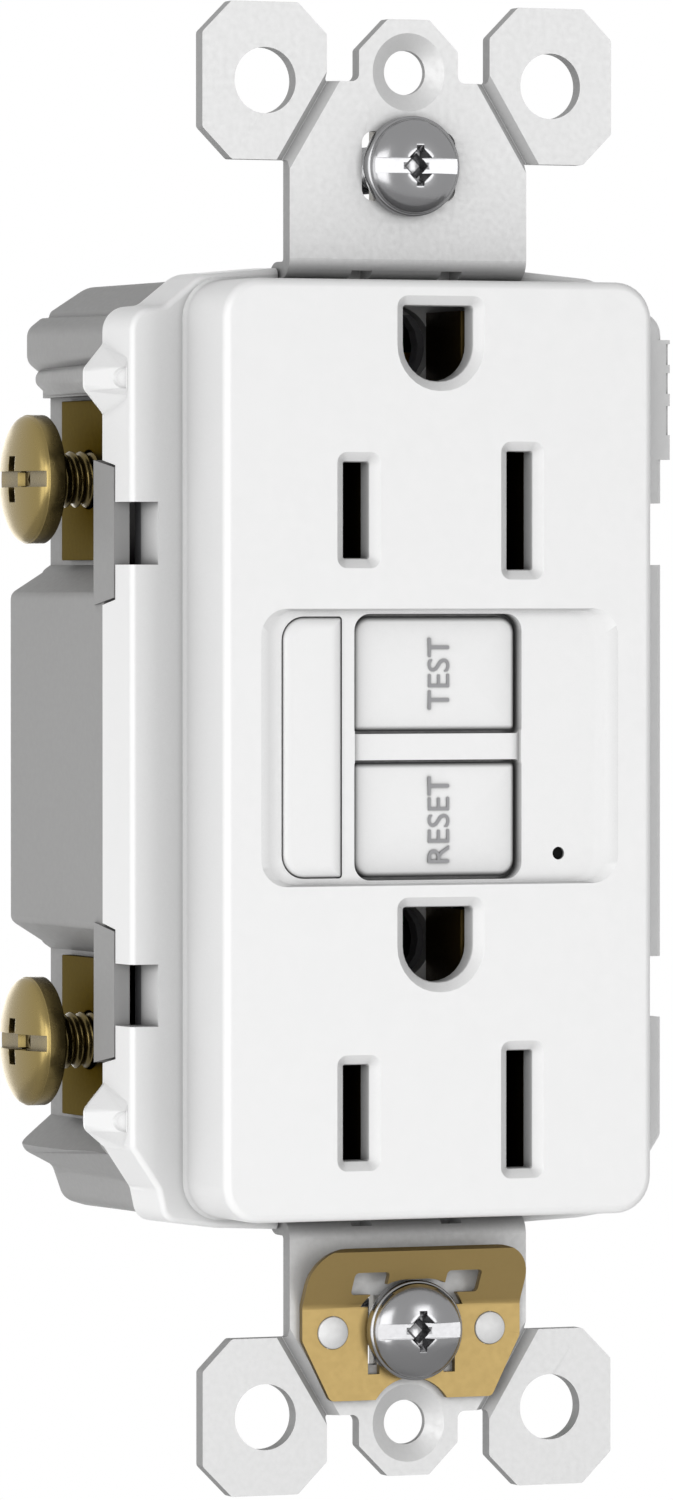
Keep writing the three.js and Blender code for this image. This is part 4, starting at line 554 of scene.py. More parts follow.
def recess_openings():
    """The recess of the badge, the buttons and the indicator, and what opens from it."""
    dish = [(y, rounded(centred(half_w, half_h, 0, RECESS_Z, RECESS_CORNER)))
            for y, half_w, half_h in RECESS_SIZES]
    tools = [loft("y", dish)]
    tools += [prism("y", rounded(well(*span, 0)), FACE_Y, THROUGH_FACE) for span in WELLS.values()]
    tools.append(block(around(0, BAR.half), (FACE_Y - BAR.out, RECESS_FLOOR + BAR.drop), BAR.z))
    tools.append(prism("y", rounded(BADGE_POCKET), FACE_Y, RECESS_FLOOR + BADGE_DEPTH))
    tools.append(rod(LENS.x, LENS.z, LENS.hole, FACE_Y, THROUGH_FACE))
    return tools


def cover_shell():
    """The hollow moulding with its lugs, before the openings."""
    inside_shoulder = SHOULDER + WALL
    skirt = edged_slab(SKIRT, SHOULDER, inside_shoulder, SKIRT_EDGE, 6, SKIRT_STEPS)
    wall = levelled(SKIRT, SKIRT_STEPS,
                    [(SHOULDER + SKIRT_EDGE, 0), (SKIRT_REAR, -SKIRT_FLARE)])
    face_block = edged_slab(FACE, FACE_Y, inside_shoulder, FACE_EDGE)
    foot = levelled(FACE, 8, [(SHOULDER + y, -spread) for y, spread in FOOT_SPREAD])
    lugs = [side_lug(side, z) for side in SIDES for z in (-LUG.z, LUG.z)]
    m = MOULDED_TAB
    tab = block((HALF_W - m.inner, HALF_W + m.outer), (SHOULDER, SHOULDER + m.depth),
                (m.low, m.high))
    shell = join(skirt, wall, face_block, foot, *lugs, tab)
    hollow_face = prism("y", rounded(inset(FACE, WALL)), FACE_Y + FACE_WALL,
                        inside_shoulder + OVER)
    hollow_skirt = prism("y", rounded(inset(SKIRT, WALL), SKIRT_STEPS), inside_shoulder,
                         SKIRT_REAR + OVER)
    return cut(shell, hollow_face, hollow_skirt)


def front_cover():
    shell = cover_shell()
    half_wall = WALL / 2
    past_rear = SKIRT_REAR + OVER
    adds = [rod(x, z, POST_RADIUS, SHOULDER + half_wall, SKIRT_REAR) for x, z in POSTS]
    tools = []
    for side in SIDES:
        for window, tab_span in LATCHES:
            ledge = side * (HALF_W - LEDGE.inset)
            adds.append(block(sorted((ledge - side * WALL, side * (HALF_W - half_wall))),
                              (SHOULDER + half_wall, SHOULDER + LEDGE.reach),
                              (window[0] - LEDGE.frame, window[1] + LEDGE.frame)))
            beyond = side * (HALF_W + OVER)
            tools.append(block(sorted((ledge, beyond)), (SHOULDER - OVER, past_rear), window))
            floor = side * (HALF_W - TAB.thickness - TAB.room)
            tools.append(prism("x", latch_tab(*tab_span, TAB.room, past_rear), floor, beyond))
    for end in SIDES:
        for start, front in ((NOTCH.shallow, SHOULDER - OVER), (NOTCH.deep, NOTCH.front)):
            tools.append(block(around(0, NOTCH.half), (front, past_rear),
                               sorted((end * start, end * NOTCH.end))))
    tools += outlet_openings()
    m = MOULDED_TAB
    for groove in m.grooves:
        tools.append(block((HALF_W + m.groove_x, HALF_W + OVER),
                           (SHOULDER - OVER, SHOULDER + m.groove_y), groove))
    tools += [d_pocket(side, z) for side in SIDES for z in (-LUG.z, LUG.z)]
    tools += recess_openings()
    cut(join(shell, *adds), *tools)
    finish(shell, "front_cover", edge=0.07, angle=28)


# Mounting strap
STRAP_T = 1.2
THROUGH_STRAP = (-STRAP_T - OVER, OVER)
BOX_Z, PLATE_Z = 41.67, 48.42
EAR = Sizes(x=11.13, z=47.64, hole=2.36)
NECK = 9.24
# the upper half of the strap's outline, from plate tab to neck
STRAP_HALF = [
    (1.61, 52.2, 0.3), (3.86, 49.95, 0.3), (3.86, 47.7, 0.55), (6.35, 47.7, 0.25),
    (6.35, 51, 0.35), (8.6, 53.25, 0.35), (13.71, 53.25, 0.35), (15.96, 51, 0.35),
    (15.96, 44.25, 0.35), (13.71, 42, 0.35), (NECK, 42, 0.12), (NECK, 35, 0),
]
V_GROOVE = Sizes(low=(9.54, 42), high=(6.05, 47.7), half=0.6,
                 sections=[(-OVER, 1), (0, 1), (0.62, 0.12), (0.7, 0.03)])
SINK = [(-0.5, 2.86), (0, 2.8), (0.75, 1.6)]
SINK_BORE = 1.55
BOX_SLOT = Sizes(half_w=3.65, half_h=2.5, corner=0.9)
LEG_FRONT, LEG_REAR = 1.5, 2.7
# the bend from the strap to its leg, as (y, z) corners
BEND = [(-STRAP_T, 36.2, 0), (-STRAP_T, 33.6, 1.5), (LEG_FRONT, 33.6, 0.25), (LEG_FRONT, 31.4, 0),
        (LEG_REAR, 31.4, 0), (LEG_REAR, 34.8, 1.5), (0, 34.8, 0.25), (0, 36.2, 0)]
BEND_SLOT = Sizes(inner=2.7, outer=4.3, y=0.2, rear=1.3, top=35.0, low=32.6, slant=2.4, lean=36)
SPINE = Sizes(half=4.6, end=32.4, ground_hole=2.9, pin_z=-5, pin_hole=1.3, test_half=1.5,
              test_z=(3.9, 6.9))
SPINE_CUT = (0.5, 3.7)
GROUND_TAB = Sizes(inner=4.4, neck=7.2, outer=12, slope_end=9.96, rear=16.6, low=-36.3,
                   high=-35.1, rise_top=-33.8, x=8.2, y=12, tapped=2.15)
RIVET = Sizes(x=6.13, z=-41.73, radius=1.17, hole=1.35, front=-1.87, rear=0, edge=(0.07, 0.06))


def v_groove(side, end):
    low = Vector((side * V_GROOVE.low[0], end * V_GROOVE.low[1]))
    high = Vector((side * V_GROOVE.high[0], end * V_GROOVE.high[1]))
    along = (high - low).normalized()
    across = Vector((-along.y, along.x)) * V_GROOVE.half
    start, stop = low - along, high + along

    def line(k):
        return [tuple(start - across * k), tuple(stop - across * k),
                tuple(stop + across * k), tuple(start + across * k)]
    return loft("y", [(depth - STRAP_T, line(share)) for depth, share in V_GROOVE.sections])


def bend_slot(side, end):
    """A slanted slot in the bend beside the neck."""
    s = BEND_SLOT
    lean = math.radians(s.lean)
    slanted = s.y - s.slant * math.cos(lean)
    line = [(s.y, s.top), (slanted, s.top - s.slant * math.sin(lean)), (slanted, s.low),
            (s.rear, s.low), (s.rear, s.top)]
    return prism("x", [(y, end * z) for y, z in line], *sorted((side * s.inner, side * s.outer)))


def strap_end(end):
    plate = prism("y", rounded([(x, end * z, r) for x, z, r in symmetric(STRAP_HALF)]), -STRAP_T, 0)
    bend = prism("x", [(y, end * z) for y, z in rounded(BEND, 10)], -NECK, NECK)
    cuts = [rod(side * EAR.x, end * EAR.z, EAR.hole, *THROUGH_STRAP, 64) for side in SIDES]
    sink = [(depth - STRAP_T, circle(0, end * PLATE_Z, radius, 64)) for depth, radius in SINK]
    cuts.append(loft("y", sink + [(OVER, circle(0, end * PLATE_Z, SINK_BORE, 64))]))
    slot = centred(BOX_SLOT.half_w, BOX_SLOT.half_h, 0, end * BOX_Z, BOX_SLOT.corner)
    cuts.append(prism("y", rounded(slot), *THROUGH_STRAP))
    cuts += [v_groove(side, end) for side in SIDES]
    cuts += [bend_slot(side, end) for side in SIDES]
    return cut(join(plate, bend), *cuts)


def mounting_strap():
    s, g = SPINE, GROUND_TAB
    spine = block(around(0, s.half), (LEG_FRONT, LEG_REAR), around(0, s.end))
    leg = prism("z", [(g.inner, 0), (NECK, 0), (NECK, g.neck), (g.outer, g.slope_end),
                      (g.outer, g.rear), (g.inner, g.rear)], g.low, g.high)
    rise = block((g.inner, NECK), (0, LEG_REAR), (g.low, g.rise_top))
    holes = [rod(0, z + GROUND.rise, s.ground_hole, *SPINE_CUT, 40) for z in OUTLETS]
    holes.append(rod(0, s.pin_z, s.pin_hole, *SPINE_CUT))
    holes.append(block(around(0, s.test_half), SPINE_CUT, s.test_z))
    holes.append(prism("z", circle(g.x, g.y, g.tapped, 40), g.low - OVER, g.high + OVER))
    holes += [rod(side * RIVET.x, RIVET.z, RIVET.hole, *THROUGH_STRAP) for side in SIDES]
    whole = cut(join(strap_end(1), strap_end(-1), spine, leg, rise), *holes)
    finish(whole, "mounting_strap", segments=3, angle=35)


# Screws
# slots are (width, depth), cross recesses (width, half length, depth), pits (radius, depth)
TERMINAL_HEAD = Sizes(radius=4.66, rim=1.3, dome=1.2, edge=0.06, slot=(1.15, 1.0),
                      cross=(1.2, 1.85, 1.5), pit=(1.15, 0.9))
MOUNTING_HEAD = Sizes(radius=3.6, rim=0.9, dome=1.28, edge=0.18, slot=(1.1, 0.85),
                      cross=(0.6, 1.75, 0.9), pit=(1.7, 0.7))
GROUND_HEAD = Sizes(radius=3.98, rim=1.2, dome=0.8, edge=0.18, slot=(1.1, 1.0), cross=None,
                    pit=None)
TERMINAL_SHANK = Sizes(radius=2.04, depth=0.3, pitch=0.794, length=4.48)
MOUNTING_SHANK = Sizes(radius=1.7, depth=0.26, pitch=0.794, length=18.9)
# the thread's height over one pitch, as shares of its depth
THREAD_SHARES = [0, 0.12, 0.62, 1, 1, 0.62, 0.12, 0]
THREAD_SIDES = 40
HEAD_SIDES = 96
UNDER_EDGE = 0.12
# a recess in a head starts above it and narrows to these shares at its floor
ABOVE_HEAD = 0.3
CROSS_FLOOR = (0.55, 0.8)
PIT_FLOOR = 0.3
SHANK_OVERLAP = 0.02
SCREW_FINISH = {"edge": 0.05, "angle": 40, "sharp": 40}
TERMINALS = {"line": Sizes(z=19.35, low=13.2, high=25.4),
             "load": Sizes(z=-21.3, low=-27.2, high=-15)}
POLES = {"hot": -1, "neutral": 1}
TERMINAL_SCREW = Sizes(under=21.6, y=15.4)
MOUNTING_LIFT = {"upper": (1, 0.1), "lower": (-1, 0.65)}
GROUND_SCREW_UNDER = -38.7


def threaded(shank):
    """A shank with a right-handed thread, from 0 down to -length, thinner at its tip."""
    per = len(THREAD_SHARES)
    count = int(shank.length / shank.pitch * per)
    rings = []
    for k in range(count + 1):
        fade = max(0, min(1, (count - k) / per, k / per + 0.2))
        ring = []
        for i in range(THREAD_SIDES):
            angle = 2 * math.pi * i / THREAD_SIDES
            phase = (k / per + i / THREAD_SIDES) % 1 * per
            j = int(phase) % per
            height = THREAD_SHARES[j]
            height += (THREAD_SHARES[(j + 1) % per] - height) * (phase - int(phase))
            r = shank.radius - shank.depth + shank.depth * height * fade
            ring.append((r * math.cos(angle), r * math.sin(angle), -k * shank.pitch / per))
        rings.append(ring)
    return skin(rings)


def cross_recess(top, width, length, depth):
    """The two tapered bars of a cross recess."""
    low = centred(length * CROSS_FLOOR[0], width / 2 * CROSS_FLOOR[1], 0, 0)
    high = centred(length, width / 2, 0, 0)
    bars = []
    for swap in (False, True):
        lines = [[(b, -a) if swap else (a, b) for a, b, _ in line] for line in (low, high)]
        bars.append(loft("z", [(top - depth, lines[0]), (top + ABOVE_HEAD, lines[1])]))
    return bars


def screw_head(head):
    """A domed head with a slot, and where it has them a cross recess and a square pit."""
    radius, shoulder = head.radius, head.rim - head.edge
    profile = [(0, 0), (radius - UNDER_EDGE, 0), (radius, UNDER_EDGE), (radius, shoulder)]
    profile += [(radius - head.edge * fall, shoulder + head.edge * rise)
                for rise, fall in quarter(4, 1)[:-1]]
    profile += [((radius - head.edge) * (1 - fall), head.rim + head.dome * rise)
                for rise, fall in quarter(16)[:-1]]
    top = head.rim + head.dome
    slot_width, slot_depth = head.slot
    floor = top - slot_depth
    cuts = [block(around(0, radius + OVER), around(0, slot_width / 2), (floor, top + OVER))]
    if head.cross:
        cuts += cross_recess(top, *head.cross)
    if head.pit:
        pit, depth = head.pit
        cuts.append(loft("z", [(floor - depth, circle(0, 0, pit * PIT_FLOOR, 4)),
                               (top + ABOVE_HEAD, circle(0, 0, pit, 4))]))
    return cut(revolved(profile + [(0, top)], HEAD_SIDES), *cuts)


def screw(head, shank):
    """Head and shank in one piece, the shank starting just inside the head."""
    return join(screw_head(head), moved(threaded(shank), Matrix.Translation((0, 0, SHANK_OVERLAP))))


def terminal_screws():
    model = screw(TERMINAL_HEAD, TERMINAL_SHANK)
    for feed, terminal in TERMINALS.items():
        for pole, side in POLES.items():
            at = (side * TERMINAL_SCREW.under, TERMINAL_SCREW.y, terminal.z)
            whole = aimed(twin_of(model), (0, -side, 0), (side, 0, 0), at)
            finish(whole, feed + "_" + pole + "_screw", **SCREW_FINISH)
    bpy.data.objects.remove(model)


def mounting_screws():
    model = screw(MOUNTING_HEAD, MOUNTING_SHANK)
    for place, (end, lift) in MOUNTING_LIFT.items():
        whole = aimed(twin_of(model), (1, 0, 0), (0, -1, 0), (0, -STRAP_T - lift, end * BOX_Z))
        finish(whole, "mounting_screw_" + place, **SCREW_FINISH)
    bpy.data.objects.remove(model)


def ground_screw():
    whole = screw(GROUND_HEAD, TERMINAL_SHANK)
    aimed(whole, (1, 0, 0), (0, 0, -1), (GROUND_TAB.x, GROUND_TAB.y, GROUND_SCREW_UNDER))
    finish(whole, "ground_screw", **SCREW_FINISH)


# Self grounding clip
CLIP = Sizes(thickness=0.5, rear=-1.25, fold=-39.83, foot=-46.65, lean=30, flap=4.6, half=8.5,
             foot_half=6.3, waist=-42.3)
CLIP_WINDOW = Sizes(inner=2.25, outer=4.95, low=0.78, high=2.43, corner=0.3)
CLIP_SLIT = Sizes(x=2.95, half=0.45, low=-44.8, top=1.2)
CLIP_ROOM = Sizes(radius=3.7, slide=0.72, lowest=0.125, sink=3.3, slot_w=3.4,
                  slot_h=2, rivet=1.2)


def head_room(span):
    """Room for the screw head, which slides sideways, where the flap leans forward."""
    c = CLIP_ROOM
    rise = math.asin((CLIP.fold - c.lowest + BOX_Z) / c.radius)
    arc = [rise + (math.pi - 2 * rise) * i / 24 for i in range(25)]
    return prism("y", [(c.radius * math.cos(t) + math.copysign(c.slide, math.cos(t)),
                        -BOX_Z + c.radius * math.sin(t)) for t in arc], *span)


def ground_clip():
    c, w, s, room = CLIP, CLIP_WINDOW, CLIP_SLIT, CLIP_ROOM
    lean = math.radians(c.lean)
    front = c.rear - c.thickness
    tip = front - c.flap * math.sin(lean)
    climb = c.fold + c.flap * math.cos(lean)
    top = climb + c.thickness * math.sin(lean)
    strip = prism("x", rounded([
        (front, c.foot, 0), (front, c.fold, 0.9), (tip, climb, 0),
        (tip + c.thickness * math.cos(lean), top, 0),
        (c.rear, c.fold + c.thickness * math.tan(lean / 2), 0.4), (c.rear, c.foot, 0),
    ], 8), -c.half, c.half)
    span = (tip - OVER, c.rear + OVER)
    outline = rounded([
        (-c.foot_half, c.foot, 0.5), (c.foot_half, c.foot, 0.5), (c.half, c.waist, 0.6),
        (c.half, top, 2.6), (-c.half, top, 2.6), (-c.half, c.waist, 0.6),
    ], 10)
    whole = combine(strip, [prism("y", outline, *span)], "INTERSECT")
    cuts = []
    for side in SIDES:
        window = rectangle(*sorted((side * w.inner, side * w.outer)), c.fold + w.low,
                           c.fold + w.high, w.corner)
        cuts.append(prism("y", rounded(window), *span))
        cuts.append(block(around(side * s.x, s.half), span, (s.low, c.fold + s.top)))
        cuts.append(rod(side * RIVET.x, RIVET.z, room.rivet, *span, 48))
    cuts.append(head_room(span))
    cuts.append(rod(0, -PLATE_Z, room.sink, *span, 64))
    slot = centred(room.slot_w, room.slot_h, 0, -BOX_Z, 1)
    cuts.append(prism("y", rounded(slot), *span))
    finish(cut(whole, *cuts), "self_ground_clip", edge=0.05, angle=35)


def pin(sizes, x, sides):
    """A round pin along Y with a small edge at its front."""
    front, radius, (edge_r, edge_y) = -sizes.front, sizes.radius, sizes.edge
    profile = [(0, front), (radius - edge_r, front), (radius, front - edge_y),
               (radius, -sizes.rear), (0, -sizes.rear)]
    return aimed(revolved(profile, sides), (1, 0, 0), (0, -1, 0), (x, 0, sizes.z))


def rivets():
    for side, node in ((-1, "clip_rivet_left"), (1, "clip_rivet_right")):
        finish(pin(RIVET, side * RIVET.x, 48), node, edge=0, sharp=50)


# Buttons, badge and indicator
BUTTON = Sizes(front=-5.85, rear=-3.9, gap=0.22, edge=0.4, crown=0.1, flange_half=7.1,
               flange_front=-4.9, flange_margin=0.3)
TEST_LEG = Sizes(half=1.2, rear=2.9, z=(4.2, 6.6))
PIN_HOLE = Sizes(z=-5, radius=0.9, front=-5.3, rear=-2.9)
# each word with its button and its height on the face
WORDS = (("TEST", "test_button", "test_word", 5.4), ("RESET", "reset_button", "reset_word", -5.0))
LETTER = Sizes(x=0.25, size=2.4, thinner=-0.012, depth=0.03, front=-5.985)
BADGE = Sizes(gap=0.1, rear=0.4, edge_rear=0.05, crown=0.33, edge=0.9)


def pillow(corners, front, rear, edge, crown):
    """A button face that is slightly domed across both ways and rounded at its edge."""
    half = min(corners[1][0], (corners[2][1] - corners[0][1]) / 2)
    shares = [k / 10 for k in range(1, 11)]
    levels = [(front - crown * (1 - share ** 2), (1 - share) * (half - edge) + edge)
              for share in shares]
    levels += [(front + edge * fall, edge * (1 - rise)) for rise, fall in quarter(6, 1)]
    return levelled(corners, 12, levels + [(rear, 0)])


def lettering(text, button, name, z):
    """Plain generic words, read from bottom to top, set a hair into the face."""
    data = bpy.data.curves.new(name, "FONT")
    data.body = text
    data.size = LETTER.size
    data.offset = LETTER.thinner
    data.extrude = LETTER.depth
    data.resolution_u = 4
    data.align_x = "CENTER"
    data.align_y = "CENTER"
    written = placed(name, data)
    mesh = evaluated(written)
    bpy.data.objects.remove(written)
    middle = [(min(v.co[i] for v in mesh.vertices) + max(v.co[i] for v in mesh.vertices)) / 2
              for i in (0, 1)]
    mesh.transform(Matrix.Translation((-middle[0], -middle[1], 0)))
    letters = moved(placed(name, mesh), Matrix(((0, -1, 0, LETTER.x), (0, 0, -1, LETTER.front),
                                                (1, 0, 0, z), (0, 0, 0, 1))))
    mesh.transform(Matrix.Scale(MM, 4))
    mesh.materials.clear()
    mesh.materials.append(MATERIALS["button_ink"])
    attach(letters, button)


def buttons():
    b, leg, pin = BUTTON, TEST_LEG, PIN_HOLE
    for node, (low, high) in WELLS.items():
        face = pillow(well(low, high, b.gap), b.front, b.rear, b.edge, b.crown)
        flange = block(around(0, b.flange_half), (b.flange_front, b.rear),
                       (low - b.flange_margin, high + b.flange_margin))
        if node == "test_button":
            push_leg = block(around(0, leg.half), (b.flange_front, leg.rear), leg.z)
            whole = join(face, flange, push_leg)
        else:
            whole = cut(join(face, flange), rod(0, pin.z, pin.radius, pin.front, pin.rear))
        finish(whole, node, edge=0.04, angle=40, sharp=40)
    for text, button, name, z in WORDS:
        lettering(text, button, name, z)


def badge():
    levels = [(RECESS_FLOOR + BADGE.rear, 0)]
    levels += [(RECESS_FLOOR + BADGE.edge_rear - BADGE.crown * rise, BADGE.edge * fall)
               for rise, fall in quarter(8)]
    whole = levelled(inset(BADGE_POCKET, BADGE.gap), 10, levels)
    finish(whole, "badge_insert", edge=0, sharp=60)


def indicator():
    finish(pin(LENS, LENS.x, 32), "indicator_lens", edge=0, sharp=40)


# Rear housing
HOUSING_FRONT, REAR = 5.72, 24.9
PAST_REAR = REAR + OVER
RECESS_WALL = 17.3
# the right half of the housing's outline at its front and at its rear
HOUSING_FRONT_HALF = [
    (9.0, 34.06, 9), (15.13, 33.44, 2.1), (18.0, 31.5, 0.5), (18.15, 31.05, 0.1),
    (18.75, 31.0, 0.3), (20.45, 30.2, 1.2), (20.45, 28.2, 1.2), (19.9, 27.2, 0.35),
    (19.9, -26.6, 0.5), (20.45, -28.2, 0.8), (18.45, -31.1, 0.9), (17.9, -33.3, 1.2),
    (14.2, -33.8, 5), (9.0, -34.06, 9),
]
HOUSING_REAR_HALF = [
    (9.0, 34.0, 9), (14.77, 33.54, 2.3), (17.6, 31.75, 0.5), (17.75, 31.3, 0.1),
    (18.35, 31.25, 0.3), (19.45, 30.4, 1.1), (19.45, 28.0, 1.1), (18.2, 27.05, 0.35),
    (18.3, -26.6, 0.5), (20.4, -29.4, 1.0), (17.5, -30.9, 0.9), (16.6, -33.4, 1.4),
    (14.9, -33.9, 4), (9.0, -34.6, 9),
]
HOUSING_EDGE = Sizes(depth=0.9, inset=0.8)
MIDDLE = Sizes(half=[(RECESS_WALL, 13.2, 0.6), (20.7, 11.1, 0.8), (20.7, -12.9, 0.8),
                     (RECESS_WALL, -15, 0.6)], edge=0.7, inside=0.04)
RIDGE = Sizes(z=26.75, sections=[(HOUSING_FRONT, 21.3, 0.9), (REAR - 2.2, 19.3, 0.85),
                                 (REAR - 1.3, 19.0, 0.75), (REAR - 0.75, 18.4, 0.5)])
HOUSING_WALL, REAR_WALL = 1.6, 1.9
CAVITY = Sizes(half_w=15.7, half_h=31.2, front=6.1, mid_half=19.1, mid_z=(-12.1, 10.3))
BOSS = Sizes(radius=2.4, bore=1.35, sink=2.05, inside=0.02)
POCKET = Sizes(wall=17.32, far=22.8, front=7.7, upper=(13.17, 25.4), lower=(-14.97, -27.2),
               chamfer_share=2.1 / 3.4, slope_share=2.3 / 2.8)
WINDOW = Sizes(inner=14.7, outer=18.3, y=(10.35, 20.45), half=4.25)
WIRE_HOLE = Sizes(x=14.1, spread=1.95, radius=1.6, mouth=2.05, depth=2.9, mouth_depth=0.45,
                  mouth_past=0.05)
GROUND_ROOM = Sizes(radius=2.35, low=-35.1, high=-30.2)
TERMINAL_PLATE = Sizes(inner=17.35, outer=18.1, y=(9, 20.7), margin=0.3, tapped=2.15)
WIRE_BOX = Sizes(inner=11.4, outer=17.7, y=(10.6, 20.2), half=4, wall=0.8, mouth=1)


def housing_ridge(side):
    """The lip above a terminal pocket, which runs out towards the lug of the cover."""
    z = RIDGE.z

    def at(reach, half):
        return rounded([
            (side * RECESS_WALL, z - 1.25, 0), (side * (reach - 0.9), z - half - 0.35, 0.4),
            (side * reach, z - half * 0.4, 0.5), (side * reach, z + half * 0.6, 0.5),
            (side * (reach - 1.1), z + half + 0.1, 0.5), (side * RECESS_WALL, z + half + 0.5, 0),
        ], 6)
    return loft("y", [(y, at(reach, half)) for y, reach, half in RIDGE.sections])


def housing_ends():
    """The long body between the side pockets' walls, rounded at its rear edge."""
    front, rear = symmetric(HOUSING_FRONT_HALF), symmetric(HOUSING_REAR_HALF)
    start = REAR - HOUSING_EDGE.depth
    sections = [(HOUSING_FRONT, rounded(front)), (start, rounded(rear))]
    sections += [(start + HOUSING_EDGE.depth * rise,
                  rounded(inset(rear, HOUSING_EDGE.inset * fall))) for rise, fall in quarter(5, 1)]
    return loft("y", sections)


def housing_middle():
    """The wider block between the terminals, kept clear of the body's own end faces."""
    start = REAR - MIDDLE.inside - MIDDLE.edge
    levels = [(HOUSING_FRONT + MIDDLE.inside, 0), (start, 0)]
    levels += [(start + MIDDLE.edge * rise, MIDDLE.edge * fall) for rise, fall in quarter(4, 1)]
    return levelled(symmetric(MIDDLE.half), 6, levels)


def hollowed(whole):
    rear = symmetric(HOUSING_REAR_HALF)
    cavity = centred(CAVITY.half_w, CAVITY.half_h, 0, 0, HOUSING_WALL)
    return cut(
        whole,
        prism("y", rounded(inset(rear, HOUSING_WALL), 4), HOUSING_FRONT - OVER, CAVITY.front),
        prism("y", rounded(cavity), HOUSING_FRONT, REAR - REAR_WALL),
        block(around(0, CAVITY.mid_half), (HOUSING_FRONT, REAR - REAR_WALL), CAVITY.mid_z),
    )


def side_openings(side):
    """The terminal pockets of one side, with their windows and wire holes."""
    p, h = POCKET, WIRE_HOLE
    run = p.far - RECESS_WALL
    (upper_in, upper_out), (lower_in, lower_out) = p.upper, p.lower
    tools = []
    for corners in (
        [(p.wall, upper_in), (p.far, upper_in - p.chamfer_share * run), (p.far, upper_out),
         (p.wall, upper_out)],
        [(p.wall, lower_in), (p.far, lower_in + p.chamfer_share * run),
         (p.far, lower_out - p.slope_share * run), (p.wall, lower_out)],
    ):
        tools.append(prism("y", [(side * x, z) for x, z in corners], p.front, PAST_REAR))
    for terminal in TERMINALS.values():
        tools.append(block(sorted((side * WINDOW.inner, side * WINDOW.outer)), WINDOW.y,
                           around(terminal.z, WINDOW.half)))
        holes = around(terminal.z, h.spread)
        tools += [rod(side * h.x, z, h.radius, REAR - h.depth, PAST_REAR) for z in holes]
        tools += [loft("y", [(REAR - h.mouth_depth, circle(side * h.x, z, h.radius, 32)),
                             (REAR + h.mouth_past, circle(side * h.x, z, h.mouth, 32))])
                  for z in holes]
    return tools


def rear_housing():
    tabs = [prism("x", latch_tab(*span, 0, HOUSING_FRONT + HOUSING_WALL),
                  side * (HALF_W - TAB.thickness), side * (HALF_W + SKIRT_FLARE))
            for side in SIDES for _, span in LATCHES]
    ridges = [housing_ridge(side) for side in SIDES]
    whole = hollowed(join(housing_ends(), housing_middle(), *ridges, *tabs))
    boss_rear = REAR - HOUSING_WALL
    join(whole, *[rod(x, z, BOSS.radius, HOUSING_FRONT + BOSS.inside, boss_rear) for x, z in POSTS])
    tools = [tool for side in SIDES for tool in side_openings(side)]
    for x, z in POSTS:
        tools.append(rod(x, z, BOSS.bore, HOUSING_FRONT - OVER, PAST_REAR))
        tools.append(rod(x, z, BOSS.sink, boss_rear, PAST_REAR))
    room = circle(GROUND_TAB.x, GROUND_TAB.y, GROUND_ROOM.radius, 32)
    tools.append(prism("z", room, GROUND_ROOM.low, GROUND_ROOM.high))
    finish(cut(whole, *tools), "rear_housing", edge=0.14, segments=3, angle=24)


def terminal_plates():
    """The plate in each side pocket with its screw hole and wire box."""
    p, w = TERMINAL_PLATE, WIRE_BOX
    for feed, terminal in TERMINALS.items():
        for pole, side in POLES.items():
            height = (terminal.low + p.margin, terminal.high - p.margin)
            plate = block((p.inner, p.outer), p.y, height)
            join(plate, block((w.inner, w.outer), w.y, around(terminal.z, w.half)))
            inside = block((w.inner + w.wall, p.inner), (w.y[0] - w.mouth, w.y[1] + w.mouth),
                           around(terminal.z, w.half - w.wall))
            tapped = prism("x", circle(TERMINAL_SCREW.y, terminal.z, p.tapped, 40),
                           p.inner - OVER, p.outer + OVER)
            cut(plate, inside, tapped)
            moved(plate, Matrix.Diagonal((side, 1, 1, 1)))
            finish(plate, feed + "_" + pole + "_terminal", edge=0.08, angle=35)


# Springs
def wound(node):
    """The wound wire of a spring, kept as its own mesh and carried by its body."""
    shape = placed(node + "_wire", nodes[node].data.copy())
    shape.matrix_world = nodes[node].matrix_world.copy()
    shape.data.shade_smooth()
    painted(shape, slot_of[node])
    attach(shape, body_of[node])
    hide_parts(node)
    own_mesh(shape)


# The pieces
front_cover()
wound("reset_spring")
wound("plunger_spring")
rear_housing()
terminal_plates()
mounting_strap()
terminal_screws()
mounting_screws()
ground_screw()
ground_clip()
rivets()
buttons()
badge()
indicator()


# Camera: the pinhole fitted to the photo, with values in its pixels
PHOTO_SIZE = (673, 1500)
FOCAL_PIXELS = 9638.442
TARGET_PIXEL = (408.535, 580.785)
TARGET = (0, -1.2, 12.013)
DISTANCE = 690.954
AZIMUTH = 23.525
SENSOR = 36


def camera():
    data = bpy.data.cameras.new("camera")
    cam = placed("camera", data)
    bpy.context.scene.camera = cam
    azimuth = math.radians(AZIMUTH)
    forward = Vector((math.sin(azimuth), math.cos(azimuth), 0))
    right = Vector((math.cos(azimuth), -math.sin(azimuth), 0))
    cam.location = (Vector(TARGET) - forward * DISTANCE) * MM
    aside = PHOTO_SIZE[0] / 2 - TARGET_PIXEL[0]
    below = PHOTO_SIZE[1] / 2 - TARGET_PIXEL[1]
    aim = forward * FOCAL_PIXELS + right * aside - Vector((0, 0, below))
    cam.rotation_mode = "QUATERNION"
    cam.rotation_quaternion = aim.to_track_quat("-Z", "Y")
    data.sensor_width = SENSOR
    data.lens = FOCAL_PIXELS / PHOTO_SIZE[1] * SENSOR
    data.clip_start = 0.01
    data.clip_end = 20


# Light and floor
FLOOR = Sizes(radius=0.3, at=(0, 0.05, -0.12), color=(0.86, 0.86, 0.86))
SOFT_LIGHT, WHITE_LIGHT = 0.24, 1.0


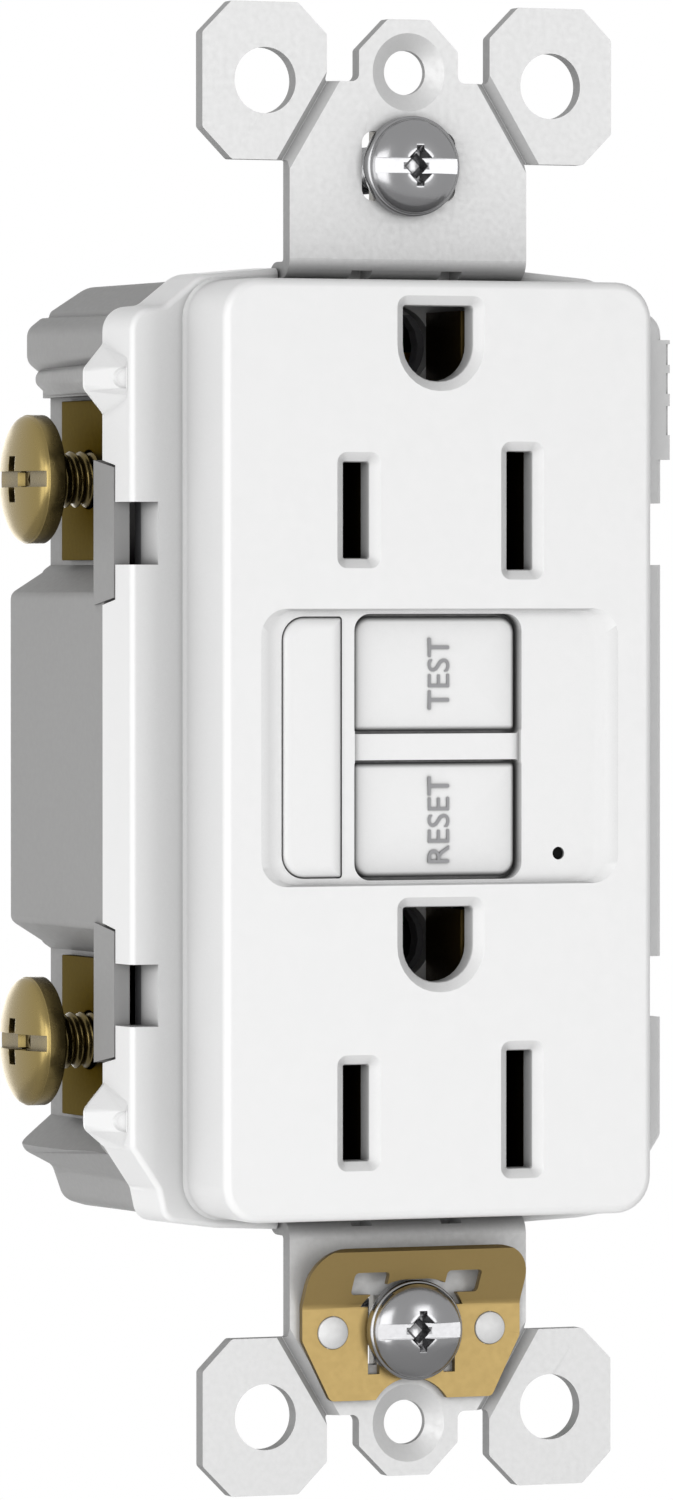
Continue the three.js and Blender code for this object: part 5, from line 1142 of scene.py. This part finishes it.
def lamp(name, at, size, power, aim_at=(0, 0, 0)):
    data = bpy.data.lights.new(name, "AREA")
    data.shape = "RECTANGLE"
    data.size, data.size_y = size
    data.energy = power
    obj = placed(name, data)
    obj.location = at
    obj.rotation_mode = "QUATERNION"
    obj.rotation_quaternion = (Vector(aim_at) - Vector(at)).to_track_quat("-Z", "Y")
    return obj


def studio_world():
    """Soft light from all round, and white where the camera or a mirror sees past the part."""
    world = bpy.data.worlds.new("studio")
    bpy.context.scene.world = world
    world.use_nodes = True
    tree = world.node_tree
    tree.nodes.clear()
    path = add(tree, "LightPath", {})
    seen = path["Is Camera Ray"]
    for ray in ("Is Glossy Ray", "Is Transmission Ray"):
        seen = add(tree, "Math", {0: seen, 1: path[ray]}, operation="MAXIMUM")[0]
    soft, white = (add(tree, "Background", {0: (1, 1, 1, 1), 1: strength})[0]
                   for strength in (SOFT_LIGHT, WHITE_LIGHT))
    glow = add(tree, "MixShader", {0: seen, 1: soft, 2: white})[0]
    add(tree, "OutputWorld", {0: glow})


def studio_floor():
    """A pale floor with a soft lamp above it that lights nothing else, so that it stays pale."""
    bpy.ops.mesh.primitive_circle_add(vertices=96, radius=FLOOR.radius, fill_type="NGON",
                                      location=FLOOR.at)
    floor = bpy.context.object
    floor.name = "floor"
    floor.data.materials.append(surface("floor_paint", FLOOR.color, rough=0.8, shade=0.01))
    overhead = lamp("overhead", (0, 0.05, 0.9), (0.6, 0.6), 4.0, (0, 0.05, 0))
    floor_only = bpy.data.collections.new("floor_only")
    floor_only.objects.link(floor)
    overhead.light_linking.receiver_collection = floor_only


camera()
lamp("key", (-0.56, -0.66, 0.04), (0.7, 0.7), 4.6, (0, 0, 0.01))
lamp("fill", (-0.85, -0.1, 0.0), (0.5, 0.6), 1.6)
lamp("right", (0.34, -0.76, 0.06), (0.26, 0.4), 1.1)
lamp("back", (0.1, 0.95, -0.1), (0.6, 0.6), 1.5)
studio_world()
studio_floor()
bpy.context.scene.view_settings.view_transform = "Standard"
